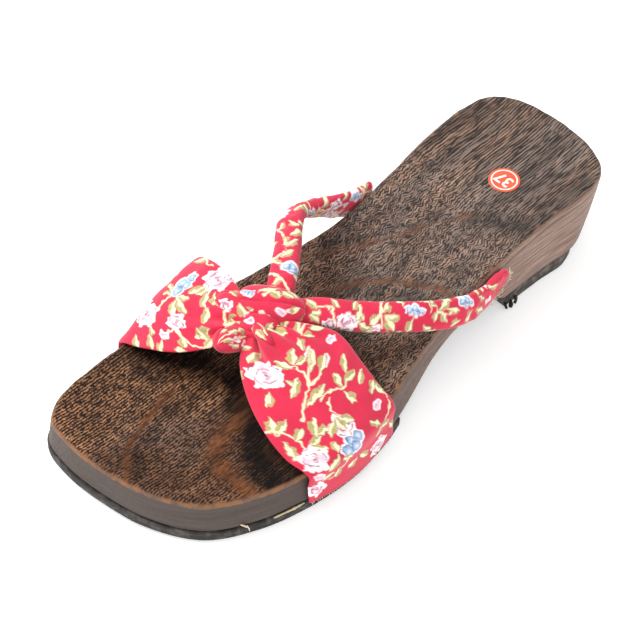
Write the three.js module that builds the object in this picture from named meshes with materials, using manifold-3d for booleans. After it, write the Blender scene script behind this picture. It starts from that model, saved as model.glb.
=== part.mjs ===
// Geta-style sandal, left shoe: a carved wooden sole with a heel block, thin rubber under the
// forefoot and heel, and one cloth upper (two bow wings, a knot and two rear straps).
// Millimetres. Toe to -Y, heel to +Y, big-toe side to -X, +Z up, floor at z = 0.
import * as THREE from 'three';
import { mergeVertices } from 'three/addons/utils/BufferGeometryUtils.js';
import Module from 'manifold-3d';

const wasm = await Module();
wasm.setup();

// driving dimensions
const clearance = 0.3; // between pieces that are glued or stapled together
const outsoleThickness = 5;
const liftThickness = 8;
const liftInset = 1.2;
const forefootEnd = -17; // rear edge of the forefoot rubber
const liftFront = 57; // front edge of the heel rubber
const wallFlare = 2.5; // the forefoot wall stands out this much at the floor
const heelRake = 9; // the back of the heel leans in this much towards the floor
const footbedDish = 2.2;
const clothThickness = 2;

// counts that set how finely the solids are faceted
const outlineCount = 120;
const chordCount = 6;
const wingSpanCount = 22;
const wingWidthCount = 10;
const strapSpanCount = 30;
const strapRoundCount = 14;

// upper edge of the sole seen from above, starting at the middle of the toe, big-toe side first
const outlineTable = [
  { x: -13, y: -119.9 },
  { x: -29, y: -120.6 },
  { x: -40.5, y: -117.8 },
  { x: -46, y: -109 },
  { x: -48.3, y: -92 },
  { x: -48.2, y: -74 },
  { x: -45, y: -46 },
  { x: -40.2, y: -23 },
  { x: -34.8, y: -1 },
  { x: -30.2, y: 19 },
  { x: -29.4, y: 38 },
  { x: -30.2, y: 56 },
  { x: -31.8, y: 74 },
  { x: -32.4, y: 94 },
  { x: -29.6, y: 108.5 },
  { x: -20, y: 116.3 },
  { x: -2, y: 119.4 },
  { x: 18, y: 117.2 },
  { x: 29.6, y: 110.6 },
  { x: 33.8, y: 99 },
  { x: 32.9, y: 78 },
  { x: 32.3, y: 56 },
  { x: 32.6, y: 34 },
  { x: 34, y: 10 },
  { x: 37.4, y: -9 },
  { x: 41.8, y: -28 },
  { x: 43.9, y: -48 },
  { x: 41.2, y: -70 },
  { x: 36, y: -87 },
  { x: 26, y: -103.8 },
  { x: 9, y: -114.6 },
];

// side view: height of the footbed's edge and of the wood's underside along the shoe
const profileTable = [
  { y: -123, edge: 20.6, under: 5.3 },
  { y: -85, edge: 20.0, under: 5.3 },
  { y: -50, edge: 20.2, under: 5.3 },
  { y: -24, edge: 21.6, under: 5.3 },
  { y: -14, edge: 23.2, under: 5.4 },
  { y: -3, edge: 25.0, under: 8.4 },
  { y: 8, edge: 27.5, under: 13.2 },
  { y: 22, edge: 31.0, under: 16.8 },
  { y: 36, edge: 34.3, under: 17.2 },
  { y: 44, edge: 36.0, under: 15.0 },
  { y: 50, edge: 37.1, under: 11.4 },
  { y: 55, edge: 38.0, under: 8.3 },
  { y: 75, edge: 40.2, under: 8.3 },
  { y: 122, edge: 41.4, under: 8.3 },
];
const toeSpring = { start: -99, height: 1.2, length: 22 };

// rounding of the footbed's edge: distance in from the edge and drop below it
const edgeTable = [
  { inward: 0, drop: 2.0 },
  { inward: 0.5, drop: 0.8 },
  { inward: 1.8, drop: 0 },
  { inward: 6, drop: 0.7 },
  { inward: 12, drop: 1.5 },
];

// cloth wings: from the knot out to the stapled end, with the front edge, middle and rear edge
const lateralWing = {
  side: 1,
  rows: [
    { front: [-7, -47, 37], middle: [-6, -42, 38], rear: [-5, -37, 38] },
    { front: [-3, -58, 34.5], middle: [1, -46, 40.5], rear: [4, -32, 39.5] },
    { front: [9, -66.5, 32.5], middle: [13, -47, 38.5], rear: [15, -26.5, 38] },
    { front: [22, -71, 29.5], middle: [25, -47, 35], rear: [26, -25.5, 34.5] },
    { front: [34, -71.5, 24.5], middle: [37.5, -47, 29.5], rear: [36, -26, 30] },
  ],
  ends: { front: -69.5, rear: -25, crest: [21.5, 24, 23.5], low: [6.2, 5.4, 7.5] },
};
const medialWing = {
  side: -1,
  rows: [
    { front: [-7, -47, 38], middle: [-8, -43, 38.5], rear: [-9, -39, 38.5] },
    { front: [-13.5, -60, 36], middle: [-18, -49, 41], rear: [-22, -39, 42] },
    { front: [-24, -70, 31.5], middle: [-29, -53, 39], rear: [-33, -36, 41] },
    { front: [-37, -75, 26.5], middle: [-41, -55, 35.5], rear: [-43.5, -35, 39.5] },
    { front: [-47.5, -76.5, 21.5], middle: [-50.5, -55, 29.5], rear: [-50.5, -34.5, 34] },
  ],
  ends: { front: -76, rear: -34, crest: [18, 21, 22], low: [5.5, 6, 8.5] },
};

// rear straps: centre line, width and thickness, and how far the flat side is turned from lying
// level (0) to standing against the side wall (90)
const lateralStrap = [
  { x: -8, y: -38, z: 39, width: 10, thickness: 8, turn: 20 },
  { x: 2, y: -25, z: 40, width: 11.5, thickness: 7.5, turn: 26 },
  { x: 13.5, y: -14, z: 38.5, width: 12, thickness: 7, turn: 30 },
  { x: 23, y: -2, z: 36.5, width: 12, thickness: 6.5, turn: 38 },
  { x: 31.2, y: 10, z: 34.5, width: 12, thickness: 6, turn: 54 },
  { x: 35.6, y: 22, z: 31.5, width: 12.5, thickness: 5.2, turn: 74 },
  { x: 35.6, y: 34, z: 27.8, width: 13.5, thickness: 4.6, turn: 88 },
  { x: 35.2, y: 46, z: 25.8, width: 14.5, thickness: 4.2, turn: 90 },
];
const medialStrap = [
  { x: -8, y: -38, z: 39, width: 10, thickness: 8, turn: -10 },
  { x: -14.5, y: -26, z: 43, width: 11, thickness: 7.5, turn: -14 },
  { x: -24, y: -13.5, z: 44.5, width: 11, thickness: 7, turn: -20 },
  { x: -33, y: -3, z: 44, width: 11.5, thickness: 6.5, turn: -34 },
  { x: -37, y: 5, z: 41.5, width: 12, thickness: 6.5, turn: -52 },
  { x: -36, y: 14, z: 38, width: 12, thickness: 6, turn: -68 },
  { x: -33.6, y: 23.5, z: 34, width: 13, thickness: 5, turn: -82 },
  { x: -32.2, y: 33, z: 30.4, width: 14, thickness: 4.4, turn: -90 },
  { x: -32.6, y: 41.5, z: 28, width: 14, thickness: 4.2, turn: -90 },
];

// the knot's lobes: centre, half sizes and turn about the vertical
const knotTable = [
  { x: -8, y: -43.5, z: 41, length: 12.5, width: 15.5, height: 8.6, turn: -32 },
  { x: -8, y: -35, z: 44.2, length: 13.5, width: 6.6, height: 6.6, turn: 14 },
  { x: -4.5, y: -50, z: 41, length: 6.6, width: 11.5, height: 7.6, turn: -8 },
];

const materials = {
  wood: new THREE.MeshStandardMaterial({ color: 0x3c2d27, roughness: 0.55, metalness: 0 }),
  rubber: new THREE.MeshStandardMaterial({ color: 0x2b2a29, roughness: 0.85, metalness: 0 }),
  cloth: new THREE.MeshStandardMaterial({ color: 0xe02344, roughness: 0.9, metalness: 0 }),
};

// smooth value of a table column at y, by a monotone cubic between its rows
function profile(column, y) {
  const rows = profileTable;
  const last = rows.length - 1;
  let i = 0;
  while (i < last - 1 && y > rows[i + 1].y) i += 1;
  const slope = (k) => (rows[k + 1][column] - rows[k][column]) / (rows[k + 1].y - rows[k].y);
  const tangent = (k) => {
    if (k === 0) return slope(0);
    if (k === last) return slope(last - 1);
    const before = slope(k - 1);
    const after = slope(k);
    if (before * after <= 0) return 0;
    return (2 * before * after) / (before + after);
  };
  const span = rows[i + 1].y - rows[i].y;
  const t = THREE.MathUtils.clamp((y - rows[i].y) / span, 0, 1);
  const ease = t * t * (3 - 2 * t);
  const bendIn = t * (1 - t) * (1 - t) * tangent(i);
  const bendOut = t * t * (1 - t) * tangent(i + 1);
  const straight = rows[i][column] * (1 - ease) + rows[i + 1][column] * ease;
  return straight + span * (bendIn - bendOut);
}

function springAt(y) {
  const t = Math.max(0, (toeSpring.start - y) / toeSpring.length);
  return toeSpring.height * t * t;
}

const footbedEdge = (y) => profile('edge', y);
const woodUnder = (y) => profile('under', y) + springAt(y);

const outlineCurve = new THREE.CatmullRomCurve3(
  outlineTable.map((row) => new THREE.Vector3(row.x, row.y, 0)),
  true,
  'centripetal',
);
const outlinePoints = outlineCurve.getSpacedPoints(outlineCount).slice(0, outlineCount);

// the outline's points, each with its outward direction
const outlineRing = outlinePoints.map((point, i) => {
  const next = outlinePoints[(i + 1) % outlineCount];
  const before = outlinePoints[(i + outlineCount - 1) % outlineCount];
  const along = new THREE.Vector2(next.x - before.x, next.y - before.y).normalize();
  return { x: point.x, y: point.y, outX: along.y, outY: -along.x };
});
const turning = THREE.ShapeUtils.isClockWise(outlinePoints) ? -1 : 1;

// a ring of the outline at one level; low is 0 at the footbed's edge and 1 at the floor
function ring(inward, low) {
  return outlineRing.map((p) => {
    const forefoot = 1 - THREE.MathUtils.smoothstep(p.y, -30, 40);
    const back = THREE.MathUtils.smoothstep(p.y, 70, 112);
    const out = low * wallFlare * forefoot - inward;
    return {
      x: p.x + turning * p.outX * out,
      y: p.y + turning * p.outY * out - low ** 1.4 * heelRake * back,
    };
  });
}

// a closed solid from vertices and triangles, dropping any triangle that has no area
function closedGeometry(points, triangles) {
  let geometry = new THREE.BufferGeometry();
  geometry.setAttribute('position', new THREE.Float32BufferAttribute(points, 3));
  geometry.setIndex(triangles);
  geometry = mergeVertices(geometry, 1e-3);
  const index = Array.from(geometry.index.array);
  const kept = [];
  for (let i = 0; i < index.length; i += 3) {
    const [a, b, c] = index.slice(i, i + 3);
    if (a !== b && b !== c && a !== c) kept.push(a, b, c);
  }
  geometry.setIndex(facingOut(geometry.attributes.position, kept));
  return geometry;
}

// the same triangles, turned over if they enclose a negative volume
function facingOut(position, index) {
  const corner = (i) => new THREE.Vector3().fromBufferAttribute(position, index[i]);
  let volume = 0;
  for (let i = 0; i < index.length; i += 3) {
    volume += corner(i).dot(corner(i + 1).cross(corner(i + 2)));
  }
  if (volume > 0) return index;
  return index.slice().reverse();
}

function toManifold(geometry) {
  const bare = mergeVertices(geometry, 1e-4);
  return new wasm.Manifold(
    new wasm.Mesh({
      numProp: 3,
      vertProperties: new Float32Array(bare.attributes.position.array),
      triVerts: new Uint32Array(bare.index.array),
    }),
  );
}

function toGeometry(solid) {
  const mesh = solid.getMesh();
  const geometry = new THREE.BufferGeometry();
  const positions = new Float32Array(mesh.numVert * 3);
  for (let i = 0; i < mesh.numVert; i += 1) {
    for (let k = 0; k < 3; k += 1) {
      positions[i * 3 + k] = mesh.vertProperties[i * mesh.numProp + k];
    }
  }
  geometry.setAttribute('position', new THREE.BufferAttribute(positions, 3));
  geometry.setIndex(Array.from(mesh.triVerts));
  geometry.computeVertexNormals();
  return geometry;
}

// A slab whose rim passes through the given rings, top first. Its top and underside are closed
// by chords across the shoe, which follow topHeight and underHeight.
function slab(rings, topHeight, underHeight) {
  const points = [];
  const triangles = [];
  rings.forEach((level) => level.forEach((p) => points.push(p.x, p.y, p.z)));
  const count = outlineCount;
  const face = (a, b, c) => triangles.push(a, b, c);
  for (let r = 0; r + 1 < rings.length; r += 1) {
    for (let i = 0; i < count; i += 1) {
      const j = (i + 1) % count;
      face(r * count + i, (r + 1) * count + i, (r + 1) * count + j);
      face(r * count + i, (r + 1) * count + j, r * count + j);
    }
  }
  const cap = (level, height, up) => {
    const base = points.length / 3;
    const rows = count / 2 + 1;
    for (let i = 0; i < rows; i += 1) {
      const left = level[i];
      const right = level[(count - i) % count];
      for (let k = 0; k <= chordCount; k += 1) {
        const t = k / chordCount;
        const x = THREE.MathUtils.lerp(left.x, right.x, t);
        const y = THREE.MathUtils.lerp(left.y, right.y, t);
        const edge = k === 0 || k === chordCount || i === 0 || i === rows - 1;
        const rim = THREE.MathUtils.lerp(left.z, right.z, t);
        const reach = Math.min(...level.map((p) => Math.hypot(p.x - x, p.y - y)));
        points.push(x, y, edge ? rim : height(x, y, THREE.MathUtils.smoothstep(reach, 0, 18)));
      }
    }
    for (let i = 0; i + 1 < rows; i += 1) {
      for (let k = 0; k < chordCount; k += 1) {
        const a = base + i * (chordCount + 1) + k;
        const b = a + 1;
        const c = a + chordCount + 1;
        const d = c + 1;
        if (up) {
          face(a, c, d);
          face(a, d, b);
        } else {
          face(a, d, c);
          face(a, b, d);
        }
      }
    }
  };
  cap(rings[0], topHeight, true);
  cap(rings[rings.length - 1], underHeight, false);
  return closedGeometry(points, triangles);
}

const boxBetween = (low, high) => {
  const box = new THREE.BoxGeometry(high[0] - low[0], high[1] - low[1], high[2] - low[2]);
  box.translate((low[0] + high[0]) / 2, (low[1] + high[1]) / 2, (low[2] + high[2]) / 2);
  box.deleteAttribute('normal');
  box.deleteAttribute('uv');
  return toManifold(box);
};

const atHeight = (level, height) => level.map((p) => ({ ...p, z: height(p.x, p.y) }));

// wooden sole; grow makes the larger blank that keeps the cloth clear of the wood
function soleBlank(grow) {
  const rings = [...edgeTable].reverse().map(({ inward, drop }) => {
    const level = ring(inward - grow, drop / 40);
    return atHeight(level, (x, y) => footbedEdge(y) - drop + grow);
  });
  const floorLow = (y) => 1 - woodUnder(y) / footbedEdge(y);
  const wallSteps = [0.4, 0.75, 1];
  wallSteps.forEach((t) => {
    const full = ring(-grow, 0);
    const lowered = full.map((p, i) => {
      const low = t * floorLow(p.y);
      const q = ring(-grow, low)[i];
      const top = footbedEdge(p.y) - edgeTable[0].drop;
      return { ...q, z: THREE.MathUtils.lerp(top, woodUnder(q.y), t) };
    });
    rings.push(lowered);
  });
  const rimDrop = edgeTable[edgeTable.length - 1].drop;
  const dishAt = (inside) => THREE.MathUtils.lerp(rimDrop, footbedDish, inside);
  return slab(
    rings,
    (x, y, inside) => footbedEdge(y) - dishAt(inside) + grow,
    (x, y) => woodUnder(y),
  );
}

const rimRounding = 0.8;
function rubberBlank(topAt, bottomAt, inset) {
  const level = (extra, heightAt) =>
    atHeight(ring(inset + extra, 1), (x, y) => heightAt(y));
  const rings = [
    level(0, topAt),
    level(0, (y) => bottomAt(y) + rimRounding),
    level(rimRounding, bottomAt),
  ];
  return slab(rings, (x, y) => topAt(y), (x, y) => bottomAt(y));
}

const woodSole = toManifold(soleBlank(0));
const clothClearance = toManifold(soleBlank(clearance));

const forefootRubber = toManifold(
  rubberBlank((y) => outsoleThickness + springAt(y), springAt, 0.2),
).intersect(boxBetween([-80, -140, -5], [80, forefootEnd, 20]));
const heelRubber = toManifold(
  rubberBlank(() => liftThickness, () => 0, liftInset),
).intersect(boxBetween([-80, liftFront, -5], [80, 140, 20]));

// how far the side of the sole stands out at y, on the side given by its sign
function sideOf(y, side) {
  let best = side * 20;
  for (let i = 0; i < outlineCount; i += 1) {
    const a = outlinePoints[i];
    const b = outlinePoints[(i + 1) % outlineCount];
    const crosses = (a.y - y) * (b.y - y) <= 0 && a.y !== b.y;
    if (crosses) {
      const x = THREE.MathUtils.lerp(a.x, b.x, (y - a.y) / (b.y - a.y));
      if (x * side > best * side) best = x;
    }
  }
  return best;
}

// value at v through three values at 0, 1/2 and 1
const through = (values, v) => {
  const [a, b, c] = values;
  return a * (1 - v) * (1 - 2 * v) + 4 * b * v * (1 - v) + c * v * (2 * v - 1);
};

// middle surface of a wing, as lines across it from the front edge to the rear edge
function wingLine(wing, v) {
  const free = wing.rows.map((row) => {
    const axis = (k) => through([row.front[k], row.middle[k], row.rear[k]], v);
    return new THREE.Vector3(axis(0), axis(1), axis(2));
  });
  const y = THREE.MathUtils.lerp(wing.ends.front, wing.ends.rear, v);
  const off = clearance + clothThickness / 2 + 0.5;
  const wall = sideOf(y, wing.side) + wing.side * off;
  const crest = through(wing.ends.crest, v);
  const low = through(wing.ends.low, v);
  const between = (crest + low) / 2;
  const flareAt = (z) => wing.side * wallFlare * Math.max(0, 1 - z / footbedEdge(y));
  free.push(new THREE.Vector3(wall + wing.side * 0.6, y, crest));
  free.push(new THREE.Vector3(wall + flareAt(between), y, between));
  free.push(new THREE.Vector3(wall + flareAt(low), y, low));
  return new THREE.CatmullRomCurve3(free, false, 'centripetal');
}

// a sheet of even thickness about its middle surface
function sheet(wing) {
  const grid = [];
  for (let i = 0; i <= wingWidthCount; i += 1) {
    const line = wingLine(wing, i / wingWidthCount);
    grid.push(line.getSpacedPoints(wingSpanCount));
  }
  const points = [];
  const columns = wingSpanCount + 1;
  [1, -1].forEach((face) => {
    grid.forEach((line, i) => {
      line.forEach((p, j) => {
        const acrossA = grid[Math.max(0, i - 1)][j];
        const acrossB = grid[Math.min(wingWidthCount, i + 1)][j];
        const alongA = line[Math.max(0, j - 1)];
        const alongB = line[Math.min(wingSpanCount, j + 1)];
        const across = acrossB.clone().sub(acrossA);
        const along = alongB.clone().sub(alongA);
        const normal = across.cross(along).normalize();
        const rim = i === 0 || i === wingWidthCount || j === wingSpanCount;
        const half = (rim ? 0.55 : 1) * (clothThickness / 2) * face;
        points.push(p.x + normal.x * half, p.y + normal.y * half, p.z + normal.z * half);
      });
    });
  });
  const triangles = [];
  const layer = (wingWidthCount + 1) * columns;
  const quad = (a, b, c, d) => triangles.push(a, b, c, a, c, d);
  for (let i = 0; i < wingWidthCount; i += 1) {
    for (let j = 0; j < wingSpanCount; j += 1) {
      const a = i * columns + j;
      quad(a, a + 1, a + 1 + columns, a + columns);
      quad(layer + a, layer + a + columns, layer + a + 1 + columns, layer + a + 1);
    }
  }
  for (let j = 0; j < wingSpanCount; j += 1) {
    const far = wingWidthCount * columns + j;
    quad(j, layer + j, layer + j + 1, j + 1);
    quad(far, far + 1, layer + far + 1, layer + far);
  }
  for (let i = 0; i < wingWidthCount; i += 1) {
    const start = i * columns;
    const end = start + wingSpanCount;
    quad(start, start + columns, layer + start + columns, layer + start);
    quad(end, layer + end, layer + end + columns, end + columns);
  }
  return closedGeometry(points, triangles);
}

// a padded strap: a flattened round section carried along its centre line
function strap(rows) {
  const curve = new THREE.CatmullRomCurve3(
    rows.map((row) => new THREE.Vector3(row.x, row.y, row.z)),
    false,
    'centripetal',
  );
  const points = [];
  const triangles = [];
  const last = rows.length - 1;
  for (let i = 0; i <= strapSpanCount; i += 1) {
    const t = i / strapSpanCount;
    const centre = curve.getPoint(t);
    const along = curve.getTangent(t);
    const at = t * last;
    const k = Math.min(last - 1, Math.floor(at));
    const mix = (name) => THREE.MathUtils.lerp(rows[k][name], rows[k + 1][name], at - k);
    const level = new THREE.Vector3(along.y, -along.x, 0).normalize();
    const turn = THREE.MathUtils.degToRad(mix('turn'));
    const wide = level.clone().applyAxisAngle(along, turn);
    const thick = wide.clone().cross(along).normalize();
    const endRound = Math.min(1, (strapSpanCount - i) / 1.5 + 0.72);
    for (let s = 0; s < strapRoundCount; s += 1) {
      const angle = (s / strapRoundCount) * Math.PI * 2;
      const squash = (value) => Math.sign(value) * Math.abs(value) ** 0.8;
      const a = (squash(Math.cos(angle)) * mix('width') * endRound) / 2;
      const b = (squash(Math.sin(angle)) * mix('thickness') * endRound) / 2;
      points.push(
        centre.x + wide.x * a + thick.x * b,
        centre.y + wide.y * a + thick.y * b,
        centre.z + wide.z * a + thick.z * b,
      );
    }
  }
  for (let i = 0; i < strapSpanCount; i += 1) {
    for (let s = 0; s < strapRoundCount; s += 1) {
      const a = i * strapRoundCount + s;
      const b = i * strapRoundCount + ((s + 1) % strapRoundCount);
      triangles.push(a, b, b + strapRoundCount, a, b + strapRoundCount, a + strapRoundCount);
    }
  }
  const endBase = strapSpanCount * strapRoundCount;
  for (let s = 1; s + 1 < strapRoundCount; s += 1) {
    triangles.push(0, s + 1, s);
    triangles.push(endBase, endBase + s, endBase + s + 1);
  }
  return closedGeometry(points, triangles);
}

function lobe(row) {
  const geometry = new THREE.SphereGeometry(1, 20, 12);
  geometry.deleteAttribute('normal');
  geometry.deleteAttribute('uv');
  geometry.scale(row.length, row.width, row.height);
  geometry.rotateZ(THREE.MathUtils.degToRad(row.turn));
  geometry.translate(row.x, row.y, row.z);
  const merged = mergeVertices(geometry, 1e-4);
  return closedGeometry(merged.attributes.position.array, Array.from(merged.index.array));
}

const upperPieces = [
  sheet(lateralWing),
  sheet(medialWing),
  strap(lateralStrap),
  strap(medialStrap),
  ...knotTable.map(lobe),
];
const bowStrap = upperPieces
  .map(toManifold)
  .reduce((whole, piece) => whole.add(piece))
  .subtract(clothClearance);

const sandal = new THREE.Group();
function addPiece(name, solid, material) {
  const mesh = new THREE.Mesh(toGeometry(solid), material);
  mesh.name = name;
  sandal.add(mesh);
}
addPiece('wood_sole', woodSole, materials.wood);
addPiece('forefoot_outsole', forefootRubber, materials.rubber);
addPiece('heel_lift', heelRubber, materials.rubber);
addPiece('bow_strap', bowStrap, materials.cloth);

// the origin is under the middle of the whole sandal, on the floor
const bounds = new THREE.Box3().setFromObject(sandal);
const centre = bounds.getCenter(new THREE.Vector3());
sandal.position.set(-centre.x, -centre.y, -bounds.min.z);
sandal.updateMatrixWorld(true);

export default sandal;
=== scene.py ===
import math

import bmesh
import bpy
import numpy as np
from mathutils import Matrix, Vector


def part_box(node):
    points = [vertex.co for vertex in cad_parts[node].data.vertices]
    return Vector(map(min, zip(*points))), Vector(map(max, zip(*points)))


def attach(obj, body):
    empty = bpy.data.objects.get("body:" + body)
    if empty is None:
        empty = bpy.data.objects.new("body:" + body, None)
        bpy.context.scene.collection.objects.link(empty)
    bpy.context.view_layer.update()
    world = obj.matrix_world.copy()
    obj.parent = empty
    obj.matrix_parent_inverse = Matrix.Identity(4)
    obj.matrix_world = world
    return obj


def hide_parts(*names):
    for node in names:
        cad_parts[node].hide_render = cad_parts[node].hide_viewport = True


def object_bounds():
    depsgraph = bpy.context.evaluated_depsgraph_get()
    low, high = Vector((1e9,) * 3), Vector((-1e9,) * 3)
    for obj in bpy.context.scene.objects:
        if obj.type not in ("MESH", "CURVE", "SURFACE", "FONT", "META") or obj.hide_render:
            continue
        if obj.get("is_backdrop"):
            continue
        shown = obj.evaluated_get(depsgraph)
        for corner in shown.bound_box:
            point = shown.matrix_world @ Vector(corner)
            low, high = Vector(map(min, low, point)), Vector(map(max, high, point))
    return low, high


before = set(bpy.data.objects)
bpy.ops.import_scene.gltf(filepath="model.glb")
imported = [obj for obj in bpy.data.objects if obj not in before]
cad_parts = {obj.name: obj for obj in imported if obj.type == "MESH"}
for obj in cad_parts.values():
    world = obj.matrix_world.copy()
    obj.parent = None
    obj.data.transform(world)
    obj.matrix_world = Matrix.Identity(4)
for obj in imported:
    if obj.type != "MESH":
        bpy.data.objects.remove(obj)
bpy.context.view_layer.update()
mm = 0.001
print("frame loaded:", ", ".join(sorted(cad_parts)))


# numbers and curves
def smooth(value, low, high):
    t = np.clip((np.asarray(value, float) - low) / (high - low), 0, 1)
    return t * t * (3 - 2 * t)


def bump(value, centre, width):
    return np.exp(-(((np.asarray(value, float) - centre) / width) ** 2))


def mix(a, b, t):
    return a + (b - a) * t


def waves(at, size, seed, count=16):  # soft random relief from -1 to 1, size is its wavelength
    draw = np.random.default_rng(seed)
    at = np.asarray(at, float)
    total = np.zeros(len(at))
    for _ in range(count):
        direction = draw.normal(size=at.shape[1])
        direction *= 2 * np.pi * draw.uniform(0.6, 1.5) / size / np.linalg.norm(direction)
        total += np.sin(at @ direction + draw.uniform(0, 2 * np.pi))
    return total / math.sqrt(count)


def monotone(rows, x):  # smooth value at x through (x, value) rows without overshoot
    xs, ys = np.array(rows, float).T
    slope = np.diff(ys) / np.diff(xs)
    product = slope[:-1] * slope[1:]
    total = slope[:-1] + slope[1:]
    inner = np.where(product > 0, 2 * product / np.where(product > 0, total, 1), 0)
    tangent = np.r_[slope[0], inner, slope[-1]]
    x = np.clip(x, xs[0], xs[-1])
    i = np.clip(np.searchsorted(xs, x) - 1, 0, len(xs) - 2)
    span = xs[i + 1] - xs[i]
    t = (x - xs[i]) / span
    ease = t * t * (3 - 2 * t)
    bend = t * (1 - t) ** 2 * tangent[i] - t * t * (1 - t) * tangent[i + 1]
    return mix(ys[i], ys[i + 1], ease) + span * bend


def curveThrough(points, closed=False, samples=24):  # centripetal curve, first three columns x, y, z
    p = np.asarray(points, float)
    if closed:
        p = np.concatenate([p[..., -1:, :], p, p[..., :2, :]], axis=-2)
    else:
        first = 2 * p[..., :1, :] - p[..., 1:2, :]
        last = 2 * p[..., -1:, :] - p[..., -2:-1, :]
        p = np.concatenate([first, p, last], axis=-2)
    gap = np.linalg.norm(np.diff(p[..., :3], axis=-2), axis=-1, keepdims=True) ** 0.5
    a, b, c, d = p[..., :-3, :], p[..., 1:-2, :], p[..., 2:-1, :], p[..., 3:, :]
    g0, g1, g2 = gap[..., :-2, :], gap[..., 1:-1, :], gap[..., 2:, :]
    leave = g1 * ((b - a) / g0 - (c - a) / (g0 + g1) + (c - b) / g1)
    arrive = g1 * ((c - b) / g1 - (d - b) / (g1 + g2) + (d - c) / g2)
    t = (np.arange(samples) / samples)[:, None]
    curve = (
        b[..., None, :] * (2 * t**3 - 3 * t**2 + 1)
        + leave[..., None, :] * (t**3 - 2 * t**2 + t)
        + c[..., None, :] * (3 * t**2 - 2 * t**3)
        + arrive[..., None, :] * (t**3 - t**2)
    )
    curve = curve.reshape(*curve.shape[:-3], -1, curve.shape[-1])
    if closed:
        return curve
    return np.concatenate([curve, p[..., -2:-1, :]], axis=-2)


def evenly(line, count, closed=False):  # the polyline's points at equal distances
    if closed:
        line = np.concatenate([line, line[:1]])
    travelled = np.r_[0, np.cumsum(np.linalg.norm(np.diff(line[:, :3], axis=0), axis=1))]
    stops = np.linspace(0, travelled[-1], count + 1)[:-1] if closed else np.linspace(0, travelled[-1], count)
    return np.stack([np.interp(stops, travelled, column) for column in line.T], axis=1)


def unit(v):
    return v / np.maximum(np.linalg.norm(v, axis=-1, keepdims=True), 1e-9)


# the sole's shape, millimetres, toe to -y, big-toe side to -x
sole = {
    "outline": [
        (-13, -119.9), (-29, -120.6), (-40.5, -117.8), (-46, -109), (-48.3, -92), (-48.2, -74),
        (-45, -46), (-40.2, -23), (-34.8, -1), (-30.2, 19), (-29.4, 38), (-30.2, 56), (-31.8, 74),
        (-32.4, 94), (-29.6, 108.5), (-20, 116.3), (-2, 119.4), (18, 117.2), (29.6, 110.6),
        (33.8, 99), (32.9, 78), (32.3, 56), (32.6, 34), (34, 10), (37.4, -9), (41.8, -28),
        (43.9, -48), (41.2, -70), (36, -87), (26, -103.8), (9, -114.6),
    ],
    "edge": [
        (-123, 20.6), (-85, 20), (-50, 20.2), (-24, 21.6), (-14, 23.2), (-3, 25), (8, 27.5),
        (22, 31), (36, 34.3), (44, 36), (50, 37.1), (55, 38), (75, 40.2), (122, 41.4),
    ],
    "under": [
        (-123, 5.3), (-85, 5.3), (-50, 5.3), (-24, 5.3), (-14, 5.4), (-3, 8.4), (8, 13.2),
        (22, 16.8), (36, 17.2), (44, 15), (50, 11.4), (55, 8.3), (75, 8.3), (122, 8.3),
    ],
    "spring": {"start": -99, "height": 1.2, "length": 22},
    "wallFlare": 2.5,
    "flareFade": (-30, 40),  # from the full flare in front to none behind
    "heelRake": 9,
    "rakeRise": (70, 112),  # the wall starts to lean here and leans fully at the back
    "rakeBend": 1.4,
    "rimRound": 1.8,
    "rimDrop": 2.0,
    "dish": [(0, 0), (1.8, 0), (6, 0.7), (12, 1.5), (18, 2.2), (60, 2.3)],
    "outlineCount": 640,
    "chordCount": 80,
    "wallCount": 20,
}


def springAt(y):
    spring = sole["spring"]
    return spring["height"] * np.maximum(0, (spring["start"] - y) / spring["length"]) ** 2


def edgeHeight(y):
    return monotone(sole["edge"], y)


def underHeight(y):
    return monotone(sole["under"], y) + springAt(y)


outlineFine = curveThrough(sole["outline"], closed=True)
outline = evenly(outlineFine, sole["outlineCount"], closed=True)
alongOutline = unit(np.roll(outline, -1, axis=0) - np.roll(outline, 1, axis=0))
signedArea = np.sum(outline[:, 0] * np.roll(outline[:, 1], -1) - np.roll(outline[:, 0], -1) * outline[:, 1])
outward = np.stack([alongOutline[:, 1], -alongOutline[:, 0]], axis=1) * np.sign(signedArea)


def ring(inward, low):  # low is 0 at the footbed's edge and 1 at the floor
    forefoot = 1 - smooth(outline[:, 1], *sole["flareFade"])
    back = smooth(outline[:, 1], *sole["rakeRise"])
    out = low * sole["wallFlare"] * forefoot - inward
    level = outline + outward * out[:, None]
    level[:, 1] -= low ** sole["rakeBend"] * sole["heelRake"] * back
    return level


def fromRim(at):  # distance in from the outline
    nearest = np.full(len(at), 1e9)
    for part in np.array_split(outlineFine, 12):
        gap = np.linalg.norm(at[:, None, :2] - part[None, :, :2], axis=2)
        nearest = np.minimum(nearest, gap.min(axis=1))
    return nearest


def footbedHeight(at, inside=None):
    inside = fromRim(at) if inside is None else inside
    roll = np.clip(1 - inside / sole["rimRound"], 0, 1)
    rounding = sole["rimDrop"] * (1 - np.sqrt(np.maximum(0, 1 - roll**2)))
    return edgeHeight(at[:, 1]) - rounding - monotone(sole["dish"], inside)


def sideOf(y, side):  # how far the outline stands out at y on one side
    half = outlineFine[outlineFine[:, 0] * side > 0]
    half = half[np.argsort(half[:, 1])]
    return np.interp(y, half[:, 1], half[:, 0])


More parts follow.
